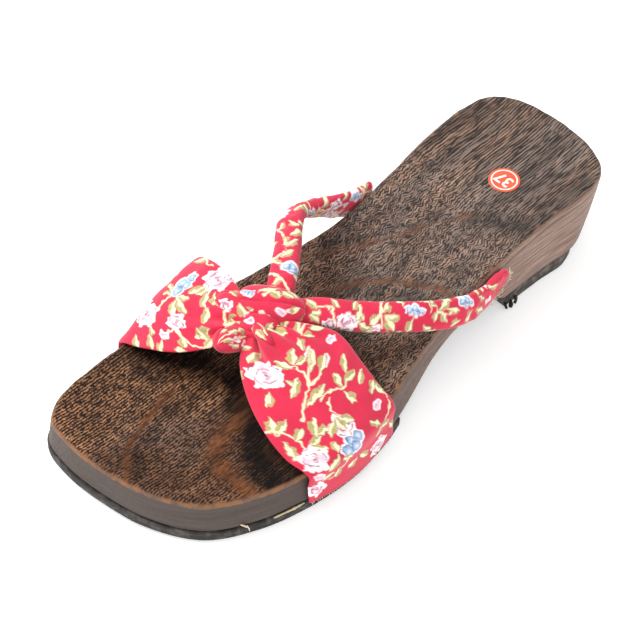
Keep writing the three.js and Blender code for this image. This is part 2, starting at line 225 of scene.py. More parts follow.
def chords(level, columns):
    # rows of points across a closed ring; the ring's own vertices are 0 .. count
    count = len(level)
    rows = count // 2
    t = np.linspace(0, 1, columns + 1)[1:-1, None]
    inner = []
    index = np.zeros((rows + 1, columns + 1), int)
    nextFree = 0
    for i in range(rows + 1):
        left, right = i, (count - i) % count
        index[i, 0], index[i, -1] = left, right
        if left == right:
            index[i, :] = left
            continue
        inner.append(mix(level[left], level[right], t))
        index[i, 1:-1] = count + nextFree + np.arange(columns - 1)
        nextFree += columns - 1
    return np.concatenate(inner), index


def gridFaces(index, flip=False):
    a, b = index[:-1, :-1].ravel(), index[:-1, 1:].ravel()
    c, d = index[1:, 1:].ravel(), index[1:, :-1].ravel()
    quads = np.stack([a, b, c, d], axis=1)
    return quads[:, ::-1] if flip else quads


def slab(levels, columns, topHeight, bottomHeight):
    # closed body from rings (n, 3), top first; top and bottom are closed by chords
    count = len(levels[0])
    points = [np.concatenate(levels)]
    faces = []
    around = np.arange(count)
    for r in range(len(levels) - 1):
        a, b = r * count + around, r * count + np.roll(around, -1)
        faces.append(np.stack([a, a + count, b + count, b], axis=1))
    total = count * len(levels)
    for level, height, flip in ((0, topHeight, True), (len(levels) - 1, bottomHeight, False)):
        inner, index = chords(levels[level], columns)
        inner[:, 2] = height(inner)
        shifted = np.where(index >= count, index - count + total, index + level * count)
        faces.append(gridFaces(shifted, flip))
        points.append(inner)
        total += len(inner)
    return np.concatenate(points), np.concatenate(faces)


# meshes
def addMesh(name, points, faces, material, attributes=(), smoothFaces=True):
    # points in the shoe's millimetres; the object sits at the origin with its place in its mesh
    data = bpy.data.meshes.new(name)
    placed = np.asarray(points, float) * mm + shoePlace
    data.from_pydata(placed.tolist(), [], [cleanFace(list(face)) for face in faces])
    data.validate()
    kinds = {1: ("FLOAT", "value"), 3: ("FLOAT_VECTOR", "vector"), 4: ("FLOAT_COLOR", "color")}
    for key, values in dict(attributes).items():
        values = np.asarray(values, float)
        width = 1 if values.ndim == 1 else values.shape[1]
        kind, field = kinds[width]
        layer = data.attributes.new(key, kind, "POINT")
        layer.data.foreach_set(field, values.astype(np.float32).ravel())
    data.materials.append(material)
    piece = bpy.data.objects.new(name, data)
    bpy.context.scene.collection.objects.link(piece)
    faceOut(piece)
    data.polygons.foreach_set("use_smooth", np.full(len(data.polygons), smoothFaces))
    return piece


def cleanFace(face):  # a face without its doubled corners
    return [int(v) for i, v in enumerate(face) if v != face[i - 1]]


def faceOut(piece):  # turns a closed mesh the right way out
    data = piece.data
    corners = np.empty(len(data.vertices) * 3)
    data.vertices.foreach_get("co", corners)
    corners = corners.reshape(-1, 3)
    corners -= corners.mean(axis=0)
    data.calc_loop_triangles()
    triangles = np.empty(len(data.loop_triangles) * 3, int)
    data.loop_triangles.foreach_get("vertices", triangles)
    a, b, c = corners[triangles.reshape(-1, 3).T]
    if np.einsum("ij,ij->", a, np.cross(b, c)) < 0:
        data.flip_normals()


# materials
def linear(colour):
    values = [int(colour[i : i + 2], 16) / 255 for i in (1, 3, 5)]
    return [v / 12.92 if v <= 0.04045 else ((v + 0.055) / 1.055) ** 2.4 for v in values] + [1]


def newMaterial(name, roughness, ior, sheen=0.0, coat=0.0, specular=0.5):
    material = bpy.data.materials.new(name)
    material.use_nodes = True
    tree = material.node_tree
    shader = tree.nodes["Principled BSDF"]
    shader.inputs["Roughness"].default_value = roughness
    shader.inputs["IOR"].default_value = ior
    shader.inputs["Sheen Weight"].default_value = sheen
    shader.inputs["Coat Weight"].default_value = coat
    shader.inputs["Specular IOR Level"].default_value = specular
    return material, tree, shader


def addNode(tree, kind, inputs=(), output=0, **settings):
    # one node with its settings and links; inputs are given in order or by name
    node = tree.nodes.new(kind if "Node" in kind else "ShaderNode" + kind)
    for name, value in settings.items():
        setattr(node, name, value)
    sockets = inputs if isinstance(inputs, dict) else dict(enumerate(inputs))
    for socket, value in sockets.items():
        if isinstance(value, bpy.types.NodeSocket):
            tree.links.new(value, node.inputs[socket])
        else:
            node.inputs[socket].default_value = value
    return node.outputs[output]


easing = {"interpolation_type": "SMOOTHSTEP"}  # 0 below the first value, 1 above the second
colourMix = {"data_type": "RGBA", "output": 2}


# wooden sole
dashWidth = 0.6  # mm across the burnt dashes, drawn a little coarse so that they show
wood = {
    "charAndBowShade": "#1c110d",
    "brown": "#4d3428",
    "ember": "#976c4b",
    "emberHeel": "#a48570",
    "brownHeel": "#5c4437",
    "orange": "#6c4228",
    "orangeDark": "#40230f",
    # painted sheen: a grey laid into the footbed's colour for the light's reflection
    "greySheen": "#766962",
    "toeWall": "#574d48",
    "toeWallDark": "#453c39",
    "heelWall": "#9f8172",
    "heelWallDark": "#5d4439",
    "rubbed": "#7b5842",
    "smear": "#b0a79f",
    "wallShade": "#41342e",
    # painted shade: near-black along the foot of the wall, for the shadow in the gap over the rubber
    "underGapShade": "#0d0b0a",
    "wornRim": "#8d6244",
    "sawLine": 5.0,  # mm under the footbed's edge
    "darkest": 0.55,  # how far the scorching varies from place to place
    "lightest": 1.3,
    "sootAndBowShade": 0.72,  # how much of the colour the scorched patches and the painted bow shadow take away
    "rippleAcross": 8.0,  # mm, how far neighbouring dashes waver together
    "rippleSwing": 5.4,  # mm, from side to side
    "rimWobble": 0.1,
    "chipDepth": (0.25, 0.8),  # mm, behind and at the toe
    "lowerRound": (0.93, 0.9),  # where down the wall its lower edge turns in, and how far
    "rimSteps": (6, 4.6, 3.4, 2.5, 1.9, 1.5, 1.1, 0.8, 0.55, 0.35, 0.18, 0.06),  # mm in from the edge
    # noises: the grain each follows, its stretch, scale for each mm, detail, roughness and distortion
    "noises": {
        "dashes": ("wavy", (1, 1, 1), 1 / 1.35 / dashWidth, 3.0, 0.6, 0.35),
        "strands": ("wavy", (1, 0.35, 1), 0.8 / 1.35 / dashWidth, 3.0, 0.6, 0.0),
        "worms": ("wavy", (1, 1.5, 1), 0.75, 2.0, 0.5, 1.6),
        "patches": ("wavy", (1, 0.5, 1), 0.11, 2.0, 0.5, 0.0),
        "mottling": ("wavy", (1, 1, 1), 0.42, 2.0, 0.5, 0.0),
        "scorching": ("wavy", (1, 0.6, 1), 0.19, 3.0, 0.65, 0.0),
        "rubbing": ("grain", (1, 1.8, 1), 0.5, 3.0, 0.5, 0.0),
        "smearing": ("grain", (1, 1, 1), 0.8, 3.0, 0.5, 0.0),
        "lines": ("sideGrain", (1, 1, 1), 0.9, 4.0, 0.6, 0.0),
        "broad": ("sideGrain", (0.2, 0.4, 0.2), 0.5, 2.0, 0.5, 0.0),
        "wander": ("sideGrain", (1, 1, 1), 0.35, 2.0, 0.5, 0.0),
    },
    # growth rings and scorched streaks: a line on the footbed, its half width and its strength
    "rings": [
        ([(3, -119), (-4, -113.6), (-12, -105), (-15, -97), (-18.7, -86), (-20, -76)], 1.3, 0.95),
        ([(33, -89), (22.5, -88), (15, -87), (8, -79.5), (5.7, -65), (-3.7, -52.5), (-8, -44)], 3.4, 0.95),
        ([(-12, -8), (-9, 1), (-1, 11), (9.6, 18.4), (19.3, 23), (25, 24.3), (31, 23)], 1.15, 1.0),
        ([(-29, -1), (-24.6, 7.6), (-13, 23.6), (-6, 35), (0.7, 46.7), (8.7, 59)], 0.9, 0.75),
        ([(33, -68), (25, -71), (20, -66), (18, -56)], 1.6, 0.45),
    ],
    "scorches": [
        ([(36, -80), (27, -80), (21, -76), (15, -66), (10, -56)], 4.2, 1.0),
        ([(2, -64), (-4, -60), (-10, -54)], 3.0, 0.8),
        ([(-44, -70), (-36, -66), (-26, -60)], 4.0, 0.75),
        ([(-38, -78), (-30, -79), (-24, -72)], 2.2, 0.6),
        ([(-1, -112), (-8, -105), (-11, -97), (-14, -86), (-15, -74)], 2.6, 0.5),
        ([(-8, -8), (-5, 0), (3, 8), (14, 15), (28, 19)], 2.2, 0.45),
        ([(-26, 10), (-15, 25), (-8, 37), (-1, 49)], 1.3, 0.45),
        ([(10, 57), (17, 61), (27, 64)], 4.0, 0.5),
        ([(31, 60), (31, 80), (30, 102)], 3.2, 0.5),
        ([(-28, 60), (-29, 84), (-26, 104)], 2.6, 0.45),
        ([(8, 60), (14, 78), (19, 96)], 1.8, 0.35),
    ],
}


def charredWood():
    # paulownia, scorched and brushed: charcoal dashes over brown, satin, with paler worn bands, a painted
    # grey sheen and a painted shadow under the bow
    material, tree, shader = newMaterial("charredPaulownia", 0.55, 1.5, specular=0.3)
    at = {
        name: addNode(tree, "Attribute", output="Vector", attribute_name=name)
        for name in ("grain", "sideGrain")
    }
    wall, band, charAndBowShade, fleck, heel, greySheen, ripple, below, low, smear, worn = (
        addNode(tree, "Attribute", output="Fac", attribute_name=name)
        for name in (
            "wall", "band", "charAndBowShade", "fleck", "heel", "greySheen", "ripple", "below", "low", "smear", "worn",
        )
    )

    # neighbouring dashes waver from side to side together
    drawn = addNode(tree, "Mapping", {"Vector": at["grain"], "Scale": (1 / wood["rippleAcross"], 0.8, 0.1)})
    swing = addNode(tree, "TexNoise", {"Vector": drawn, "Scale": 1.0, "Detail": 2.0, "Roughness": 0.55})
    for operation, value in (("SUBTRACT", 0.5), ("MULTIPLY", wood["rippleSwing"]), ("MULTIPLY", ripple)):
        swing = addNode(tree, "Math", (swing, value), operation=operation)
    sideways = addNode(tree, "CombineXYZ", {"X": swing})
    at["wavy"] = addNode(tree, "VectorMath", (at["grain"], sideways), operation="ADD")

    pattern = {}
    for name, (follows, stretch, scale, detail, roughness, distortion) in wood["noises"].items():
        drawn = addNode(tree, "Mapping", {"Vector": at[follows], "Scale": stretch})
        inputs = {"Vector": drawn, "Scale": scale, "Detail": detail}
        inputs.update({"Roughness": roughness, "Distortion": distortion})
        pattern[name] = addNode(tree, "TexNoise", inputs)
    rows = {"Vector": at["wavy"], "Scale": 0.27, "Distortion": 2.2, "Detail": 2.0, "Detail Scale": 1.6}
    rows = addNode(tree, "TexWave", rows, output=1, bands_direction="X")
    mark = addNode(tree, "Math", (rows, 0.13), operation="MULTIPLY")
    for name, share in (("dashes", 0.52), ("worms", 0.35)):
        mark = addNode(tree, "Math", (pattern[name], share, mark), operation="MULTIPLY_ADD")
    saw = addNode(tree, "Math", (pattern["wander"], 1.4, below), operation="MULTIPLY_ADD")
    fromSaw = addNode(tree, "Math", (saw, wood["sawLine"]), operation="SUBTRACT")
    fromSaw = addNode(tree, "Math", (fromSaw,), operation="ABSOLUTE")

    shares = {}
    for name, value, start, full, most in (
        ("brown", mark, 0.43, 0.54, 1),
        ("ember", mark, 0.49, 0.6, 1),
        ("greySheen", pattern["patches"], 0.4, 0.62, 1),
        ("sootAndBowShade", pattern["strands"], 0.66, 0.42, 1),
        ("bandGrain", pattern["strands"], 0.36, 0.6, 1),
        ("band", pattern["mottling"], 0.1, 0.4, 1),
        ("wallLines", pattern["lines"], 0.36, 0.66, 1),
        ("wallShade", pattern["broad"], 0.5, 0.75, 0.5),
        ("sawLine", fromSaw, 0.42, 0.12, 1),
        ("rubbed", saw, 3.6, 2.6, 1),
        ("rubbedSpots", pattern["rubbing"], 0.4, 0.6, 1),
        # painted shade along the foot of the wall, over its lowest 0.3 to 0.75 mm
        ("underGapShade", low, 0.75, 0.3, 1),
        ("smear", pattern["smearing"], 0.4, 0.55, 1),
    ):
        inputs = {"Value": value, "From Min": start, "From Max": full, "To Max": most}
        shares[name] = addNode(tree, "MapRange", inputs, **easing)
    atToe = addNode(tree, "Math", (1.0, heel), operation="SUBTRACT")
    for name, factor in (
        ("ember", fleck), ("greySheen", greySheen), ("greySheen", shares["brown"]), ("sootAndBowShade", charAndBowShade), ("band", band),
        ("sawLine", heel), ("rubbed", atToe), ("rubbed", shares["rubbedSpots"]), ("smear", smear),
    ):
        shares[name] = addNode(tree, "Math", (shares[name], factor), operation="MULTIPLY")

    tone = {name: linear(wood[name]) for name in ("charAndBowShade", "greySheen", "rubbed", "smear", "wallShade", "underGapShade")}
    for name, share, under, over in (
        ("brown", heel, "brown", "brownHeel"),
        ("ember", heel, "ember", "emberHeel"),
        ("band", shares["bandGrain"], "orangeDark", "orange"),
        ("wall", heel, "toeWall", "heelWall"),
        ("wallDark", heel, "toeWallDark", "heelWallDark"),
    ):
        inputs = {0: share, 6: linear(wood[under]), 7: linear(wood[over])}
        tone[name] = addNode(tree, "Mix", inputs, **colourMix)

    top = tone["charAndBowShade"]
    # over the charcoal: brown, ember dashes, the painted grey sheen, scorch strands that also paint the bow's
    # shadow, and orange rings
    for name, paint in (
        ("brown", "brown"), ("ember", "ember"), ("greySheen", "greySheen"), ("sootAndBowShade", "charAndBowShade"), ("band", "band"),
    ):
        top = addNode(tree, "Mix", {0: shares[name], 6: top, 7: tone[paint]}, **colourMix)
    # darker where scorched and where the bow's shadow is painted
    unscorchedUnshaded = addNode(tree, "Math", (charAndBowShade, -wood["sootAndBowShade"], 1.0), operation="MULTIPLY_ADD")
    inputs = {"Value": pattern["scorching"], "From Min": 0.3, "From Max": 0.7}
    inputs.update({"To Min": wood["darkest"], "To Max": wood["lightest"]})
    uneven = addNode(tree, "MapRange", inputs)
    for factor in (unscorchedUnshaded, uneven):
        top = addNode(tree, "VectorMath", {0: top, "Scale": factor}, operation="SCALE")

    lined = addNode(tree, "Math", (heel, 0.45, 0.45), operation="MULTIPLY_ADD")  # lines show more at the heel
    plain = addNode(tree, "Math", (1.0, lined), operation="SUBTRACT")
    lined = addNode(tree, "Math", (shares["wallLines"], lined, plain), operation="MULTIPLY_ADD")
    side = addNode(tree, "Mix", {0: lined, 6: tone["wallDark"], 7: tone["wall"]}, **colourMix)
    for name, paint in (
        ("wallShade", "wallShade"), ("sawLine", "charAndBowShade"), ("rubbed", "rubbed"), ("underGapShade", "underGapShade"),
        ("smear", "smear"),
    ):
        side = addNode(tree, "Mix", {0: shares[name], 6: side, 7: tone[paint]}, **colourMix)
    colour = addNode(tree, "Mix", {0: wall, 6: top, 7: side}, **colourMix)
    colour = addNode(tree, "Mix", {0: worn, 6: colour, 7: linear(wood["wornRim"])}, **colourMix)
    tree.links.new(colour, shader.inputs["Base Color"])

    inputs = {"Value": pattern["dashes"], "From Min": 0.35, "From Max": 0.65, "To Min": 0.68, "To Max": 0.46}
    tree.links.new(addNode(tree, "MapRange", inputs), shader.inputs["Roughness"])
    shine = addNode(tree, "Math", (heel, 0.32, 0.12), operation="MULTIPLY_ADD")
    tree.links.new(shine, shader.inputs["Specular IOR Level"])
    footbed = addNode(tree, "Math", (1.0, wall), operation="SUBTRACT")
    height = addNode(tree, "Math", (pattern["dashes"], footbed), operation="MULTIPLY")
    wallHeight = addNode(tree, "Math", (wall, 0.4), operation="MULTIPLY")
    height = addNode(tree, "Math", (pattern["lines"], wallHeight, height), operation="MULTIPLY_ADD")
    normal = addNode(tree, "Bump", {"Height": height, "Strength": 0.5, "Distance": 0.4 * mm})
    tree.links.new(normal, shader.inputs["Normal"])
    return material


def fromLine(at, line):  # distance on the footbed from a listed line
    nearest = np.full(len(at), 1e9)
    for x, y in evenly(curveThrough(line), 70):
        nearest = np.minimum(nearest, np.hypot(at[:, 0] - x, at[:, 1] - y))
    return nearest


def woodFields(at):
    # where the growth rings, scorched patches and worn bands run, with the painted shadow under the bow and
    # the painted grey sheen, from the shoe's own sizes
    x, y = at[:, 0], at[:, 1]
    stray = waves(at[:, :2], 13, 3) * 0.55 + waves(at[:, :2], 5, 4) * 0.25
    band, charAndBowShade = np.zeros(len(at)), np.zeros(len(at))
    for line, width, strength in wood["rings"]:
        band = np.maximum(band, strength * bump(fromLine(at, line) + stray, 0, width))
    for line, width, strength in wood["scorches"]:
        charAndBowShade = np.maximum(charAndBowShade, strength * bump(fromLine(at, line) + 2 * stray, 0, width))
    atToe = 1 - smooth(y, -62, -44)
    atHeel = smooth(y, 52, 80)
    inToe = 1 - smooth(x - 0.32 * (y + 100), -16, -9)
    # painted shadow: the footbed under the bow is darkened along with the scorch
    bowShadow = atToe * smooth(y + 0.5 * np.abs(x + 8), -66, -54)
    charAndBowShade = np.clip(charAndBowShade * (1 - band) + 0.75 * bowShadow, 0, 1)
    streaks = atToe * smooth(y, -96, -80) * (1 - smooth(x, -20, -4))
    fleck = 0.62 + 0.38 * atToe * inToe + 0.4 * atHeel * bump(x, -3, 16) * bump(y, 62, 9) + 0.3 * streaks
    fleck = fleck - 0.15 * atToe * (1 - inToe) * (1 - streaks)
    # painted grey sheen: over the waist and heel, with a patch at the toe
    toeSheen = atToe * bump(x - 0.1 * y, 3, 12) * bump(y, -98, 18)
    greySheen = 0.4 * toeSheen + 0.4 * smooth(y, -30, 0) * (1 - atHeel) + 0.6 * atHeel
    return band, charAndBowShade, np.clip(fleck, 0, 1), atHeel, np.clip(greySheen, 0, 1)


def grainAlong(y):  # the pattern's own length: dashes are short at toe and waist, long at the heel
    steps = np.linspace(-130, 130, 521)
    stretch = 0.56 - 0.2 * smooth(steps, -60, -36) - 0.3 * bump(steps, -62, 15) - 0.27 * smooth(steps, 50, 84)
    return np.interp(y, steps, np.cumsum(stretch) * (steps[1] - steps[0]))


def makeWoodSole():
    count = sole["outlineCount"]
    levels, rimDepth, wallShare = [], [], []
    for inward in wood["rimSteps"]:
        level = ring(inward, np.zeros(count))
        inside = np.full(count, float(inward))
        levels.append(np.column_stack([level, footbedHeight(level, inside)]))
        rimDepth.append(inside)
        wallShare.append(smooth(-inside, -1.0, -0.1))
    edgeTop = edgeHeight(outline[:, 1]) - sole["rimDrop"]
    floorLow = 1 - underHeight(outline[:, 1]) / edgeHeight(outline[:, 1])
    turnsIn, inward = wood["lowerRound"]
    for t in np.linspace(0, 1, sole["wallCount"]) ** 1.15:
        level = ring(np.full(count, inward * smooth(t, turnsIn, 1.0)), t * floorLow)
        levels.append(np.column_stack([level, mix(edgeTop, underHeight(level[:, 1]), t)]))
        rimDepth.append(np.full(count, -t * 30.0))
        wallShare.append(np.ones(count))
    topDepth = {}

    def topHeight(inner):
        topDepth["inside"] = fromRim(inner)
        return footbedHeight(inner, topDepth["inside"])

    points, faces = slab(levels, sole["chordCount"], topHeight, lambda inner: underHeight(inner[:, 1]))
    extra = len(points) - count * len(levels) - len(topDepth["inside"])
    depth = np.concatenate([*rimDepth, topDepth["inside"], np.full(extra, -40.0)])
    wall = np.concatenate([*wallShare, np.zeros(len(topDepth["inside"])), np.ones(extra)])

    nearRim = bump(depth, 0.3, 1.6)
    push = np.column_stack([waves(points, 7, 11), waves(points, 9, 12), waves(points, 5, 13)])
    points = points + push * (wood["rimWobble"] * nearRim)[:, None]
    chip = smooth(waves(points, 6, 21), 1.0, 1.7) * bump(depth, 0.4, 1.2)
    toeSide = 1 - smooth(points[:, 1], -60, -20)
    points[:, 2] -= chip * mix(*wood["chipDepth"], toeSide)

    band, charAndBowShade, fleck, heel, greySheen = woodFields(points)
    grain = np.column_stack([points[:, 0], grainAlong(points[:, 1]), points[:, 2] * 0.6])
    travelled = np.arange(count) * np.linalg.norm(outline[1] - outline[0])
    along = np.concatenate([np.tile(travelled, len(levels)), points[count * len(levels) :, 1]])
    sideGrain = np.column_stack([points[:, 2] * 1.6, along * 0.05, points[:, 0] * 0.04])
    worn = bump(depth, 0.25, 0.5) * (0.2 + 0.35 * toeSide) * (0.8 + 0.7 * waves(points, 6, 31))
    worn = np.clip(worn, 0, 1)
    worn = np.maximum(worn, chip * 0.9)
    waving = smooth(points[:, 1], -56, -24) * (1 - 0.78 * smooth(points[:, 1], 44, 80))
    attributes = {
        "grain": grain,
        "sideGrain": sideGrain,
        "wall": wall,
        "band": band,
        "charAndBowShade": charAndBowShade,
        "fleck": fleck,
        "greySheen": greySheen,
        "ripple": 0.14 + 0.86 * waving,
        "below": edgeHeight(points[:, 1]) - points[:, 2],
        "low": points[:, 2] - underHeight(points[:, 1]),
        "smear": wall * bump(points[:, 1], 42, 3.5) * bump(points[:, 2], 25.5, 3.5) * (points[:, 0] > 0),
        "heel": smooth(points[:, 1], -60, 70),
        "worn": worn,
    }
    return points, faces, attributes


# the whole shoe is laid out in its own millimetres and moved once, onto the frame
soleLow, soleHigh = (np.array(corner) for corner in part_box("wood_sole"))
bareSole = np.array([outline.min(axis=0), outline.max(axis=0)])
flareLow = ring(np.zeros(len(outline)), 1 - underHeight(outline[:, 1]) / edgeHeight(outline[:, 1]))
shapeLow = np.minimum(bareSole[0], flareLow.min(axis=0)) * mm
shapeHigh = np.maximum(bareSole[1], flareLow.max(axis=0)) * mm
shoePlace = np.array([*((soleLow[:2] + soleHigh[:2] - shapeLow - shapeHigh) / 2), 0.0])
print("shoe placed at", np.round(shoePlace * 1000, 3), "mm")

woodPoints, woodFaces, woodMarks = makeWoodSole()
woodSole = addMesh("woodSole", woodPoints, woodFaces, charredWood(), woodMarks)
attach(woodSole, "root")
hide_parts("wood_sole")
print("wooden sole:", len(woodFaces), "faces")


# rubber under the forefoot and the heel
rubber = {
    "forefoot": {"top": 5.0, "inset": 0.2, "end": -17, "groove": 7.0, "colours": ("#262423", "#57504b")},
    "heel": {"top": 8.0, "inset": 1.2, "end": 57, "groove": 5.0, "colours": ("#37322f", "#6f655e")},
    # the edge from top to floor: how far in, and the share of the height
    "edge": [
        (0.5, 1.0), (0.12, 0.97), (0, 0.9), (0, 0.7), (0, 0.5), (0, 0.3), (0.05, 0.15), (0.3, 0.05),
        (0.8, 0.0),
    ],
    "chordCount": 90,
    "grooveDepth": 0.5,
    "zigzag": (12, 6),  # length and swing of the tread's grooves
}


def mouldedRubber(name, base, worn):
    # moulded crepe-like rubber, matt and slightly dusty along its edges
    material, tree, shader = newMaterial(name, 0.78, 1.52, specular=0.35)
    place = addNode(tree, "TexCoord", output="Object")
    layered = addNode(tree, "Mapping", {"Vector": place, "Scale": (60, 60, 900)})
    dust = addNode(tree, "TexNoise", {"Vector": place, "Scale": 260.0, "Detail": 4.0, "Roughness": 0.6})
    streaks = addNode(tree, "TexNoise", {"Vector": layered, "Scale": 1.0, "Detail": 3.0, "Roughness": 0.6})
    shade = linear(base)
    for value, start, full, most in ((dust, 0.42, 0.72, 1), (streaks, 0.5, 0.7, 0.4)):
        inputs = {"Value": value, "From Min": start, "From Max": full, "To Max": most}
        share = addNode(tree, "MapRange", inputs, **easing)
        shade = addNode(tree, "Mix", {0: share, 6: shade, 7: linear(worn)}, **colourMix)
    tree.links.new(shade, shader.inputs["Base Color"])
    normal = addNode(tree, "Bump", {"Height": dust, "Strength": 0.35, "Distance": 0.3 * mm})
    tree.links.new(normal, shader.inputs["Normal"])
    return material


def makeRubber(size, keepFront):
    count = sole["outlineCount"]
    one = np.ones(count)
    levels = []
    rise = springAt if keepFront else (lambda y: np.zeros_like(y))
    for inward, share in rubber["edge"]:
        level = ring(size["inset"] + inward, one)
        height = rise(level[:, 1]) + share * size["top"]
        levels.append(np.column_stack([level, height]))
    levels = [clipLevel(level, size["end"], keepFront) for level in levels]
    points, faces = slab(
        levels,
        rubber["chordCount"],
        lambda inner: rise(inner[:, 1]) + size["top"],
        lambda inner: rise(inner[:, 1]) + grooves(inner, size),
    )
    edge = bump(points[:, 2] - size["top"] / 2, 0, size["top"] * 0.45)
    sideways = unit(points - points.mean(axis=0)) * (waves(points, 9, 5) * 0.08 * edge)[:, None]
    points[:, :2] += sideways[:, :2]
    return points, faces


def clipLevel(level, end, keepFront):  # squeezes the ring's far part against a straight cut
    level = level.copy()
    order = np.nonzero(level[:, 1] > end if keepFront else level[:, 1] < end)[0]
    gap = np.nonzero(np.diff(order) > 1)[0]
    if not keepFront and len(gap):
        order = np.roll(order, -gap[0] - 1)
    first, last = level[(order[0] - 1) % len(level)], level[(order[-1] + 1) % len(level)]
    t = np.linspace(0, 1, len(order) + 2)[1:-1]
    level[order, 0] = mix(first[0], last[0], t)
    level[order, 1] = end
    return level


def grooves(inner, size):
    inside = fromRim(inner)
    length, swing = rubber["zigzag"]
    zigzag = np.abs((inner[:, 0] / length) % 2 - 1) * swing
    phase = ((inner[:, 1] + zigzag) / size["groove"]) % 1
    cut = bump(phase, 0.5, 0.12) * smooth(inside, 6, 8)
    farFromCut = smooth(np.abs(inner[:, 1] - size["end"]), 4, 6)
    return rubber["grooveDepth"] * cut * farFromCut


for key, node, slotName in (
    ("forefoot", "forefoot_outsole", "outsole_rubber"),
    ("heel", "heel_lift", "heel_rubber"),
):
    pieceName = key + "Rubber"
    rubberPoints, rubberFaces = makeRubber(rubber[key], key == "forefoot")
    rubberLook = mouldedRubber(pieceName, *rubber[key]["colours"])
    rubberPiece = addMesh(pieceName, rubberPoints, rubberFaces, rubberLook)
    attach(rubberPiece, "root")
    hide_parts(node)
print("rubber pieces made")


# printed cotton
clothBuild = {
    "clearance": 0.3,
    "thickness": 2.0,
    "threadSpacing": 0.4363,  # mm between neighbouring threads
    "widthCount": 128,
    "lengthCount": 190,
    "rounded": 0.05,  # share of the width over which a folded edge rolls over
    "onWall": (0.72, 0.84),  # where along a wing its cloth comes to lie on the sole's wall
    "rumple": ((0.35, 30, 7), (0.12, 11, 8)),  # height, wavelength and seed of its soft unevenness
    "pressed": 0.86,
    "pinch": 0.4,  # how much thinner the hem is
    "hemMargin": 4,  # steps at each end of a hem that carry no threads
    "backShift": 7,  # mm between the print seen on the face and on the back
}
inks = {
    "ground": "#d02a49",
    "white": "#fbf4f2",
    "pink": "#f0b4c8",
    "magenta": "#ab2f6c",
    "blue": "#9db9de",
    "deepBlue": "#4d638c",
    "plum": "#6a3558",
    "cream": "#f3e7c0",
    "olive": "#a59b4e",
    "leafShade": "#6b5c2a",
}
ink = {name: np.array(linear(value)[:3]) for name, value in inks.items()}


def cover(ground, near, mask, colour, strength=1.0):
    share = np.clip(mask, 0, 1)[:, None] * strength
    ground[near] = mix(ground[near], colour, share)


def soft(distance, edge=0.22):  # 1 inside a shape, 0 outside, over a thread's width
    return smooth(-distance, -edge, edge)


def paintLeaf(ground, near, x, y, size, extra):
    t = np.clip(x / size, 0, 1)
    half = min(0.23 * size, 1.5) * np.sin(np.pi * t) ** 0.8 * (0.75 + 0.6 * t)
    off = y - extra * size * np.sin(np.pi * t) * 0.25
    outside = np.maximum(np.abs(off) - half, np.maximum(-x, x - size))
    shadow = np.maximum(np.abs(off + 0.35) - half, np.maximum(-x, x - size))
    cover(ground, near, soft(shadow), ink["leafShade"], 0.75)
    cover(ground, near, soft(outside), ink["cream"])
    blade = np.maximum(outside + 0.2, 0.25 - off)
    cover(ground, near, soft(blade, 0.3), ink["olive"], 0.9 if extra >= 0 else 0.45)
    vein = np.maximum(np.abs(off - 0.15) - 0.12, outside + 0.3)
    cover(ground, near, soft(vein, 0.15), ink["leafShade"], 0.8)
    shaded = np.maximum(np.abs(outside + 0.1) - 0.12, -off)
    cover(ground, near, soft(shaded, 0.15), ink["leafShade"], 0.6)


def paintStem(ground, near, x, y, size, extra):
    t = np.clip(x / size, 0, 1)
    off = y - extra * size * t * (1 - t) * 2
    outside = np.maximum(np.abs(off) - mix(0.5, 0.3, t), np.maximum(-x, x - size))
    cover(ground, near, soft(outside), ink["cream"])


def paintRose(ground, near, x, y, size, extra):
    radius = size / 2
    reach, turn = np.hypot(x * 0.92, y * 1.08), np.arctan2(y, x)
    frill = 0.84 + 0.1 * np.cos(5 * turn + extra) + 0.07 * np.cos(9 * turn + 2.3 * extra)
    outside = reach - radius * frill
    cover(ground, near, soft(outside), ink["white"])
    blush = soft(reach - radius * 0.66, 0.8) * (0.5 + 0.5 * np.cos(2 * turn + extra + 1))
    cover(ground, near, blush, ink["pink"], 0.8)
    strokes = ((0.2, 0.4, 1.9, "magenta"), (0.4, 2.2, 0.9, "magenta"), (0.5, 5.0, 0.7, "plum"))
    strokes += ((0.62, 3.9, 0.5, "magenta"), (0.68, 0.9, 0.45, "plum"), (0.78, 2.6, 0.3, "plum"))
    for share, start, swing, shade in strokes:
        middle = (turn - start - extra + np.pi) % (2 * np.pi) - np.pi
        arc = np.maximum(np.abs(reach - radius * share) - 0.24, (np.abs(middle) - swing) * radius * share)
        cover(ground, near, soft(arc, 0.2), ink[shade], 0.9)
    cover(ground, near, soft(reach - radius * 0.1, 0.2), ink["plum"], 0.8)


def paintBlue(ground, near, x, y, size, extra):
    lobes = ((-0.3, 0.03, 0.21), (-0.02, -0.1, 0.2), (0.04, 0.12, 0.17), (0.31, 0.0, 0.17))
    outside = np.full(len(x), 99.0)
    for cx, cy, r in lobes:
        outside = np.minimum(outside, np.hypot(x - cx * size, y - cy * size) - r * size)
    cover(ground, near, soft(outside - 0.35), ink["white"])
    cover(ground, near, soft(outside + 0.3), ink["blue"])
    for cx, cy, r in lobes:
        gap = np.hypot(x - cx * size, y - cy * size)
        line = np.maximum(np.abs(gap - r * size * 0.8) - 0.2, -(y - cy * size) - 0.2)
        cover(ground, near, soft(line, 0.18), ink["deepBlue"], 0.85)
        cover(ground, near, soft(gap - r * size * 0.3, 0.3), ink["white"], 0.6)


def paintBud(ground, near, x, y, size, extra):
    outside = np.hypot(x / 1.5, y) - size * 0.3
    cover(ground, near, soft(outside), ink["white"])
    cover(ground, near, soft(outside + 0.45), ink["pink"], 0.8)
    line = np.maximum(np.abs(y - 0.1) - 0.14, outside + 0.35)
    cover(ground, near, soft(line, 0.16), ink["magenta"], 0.7)


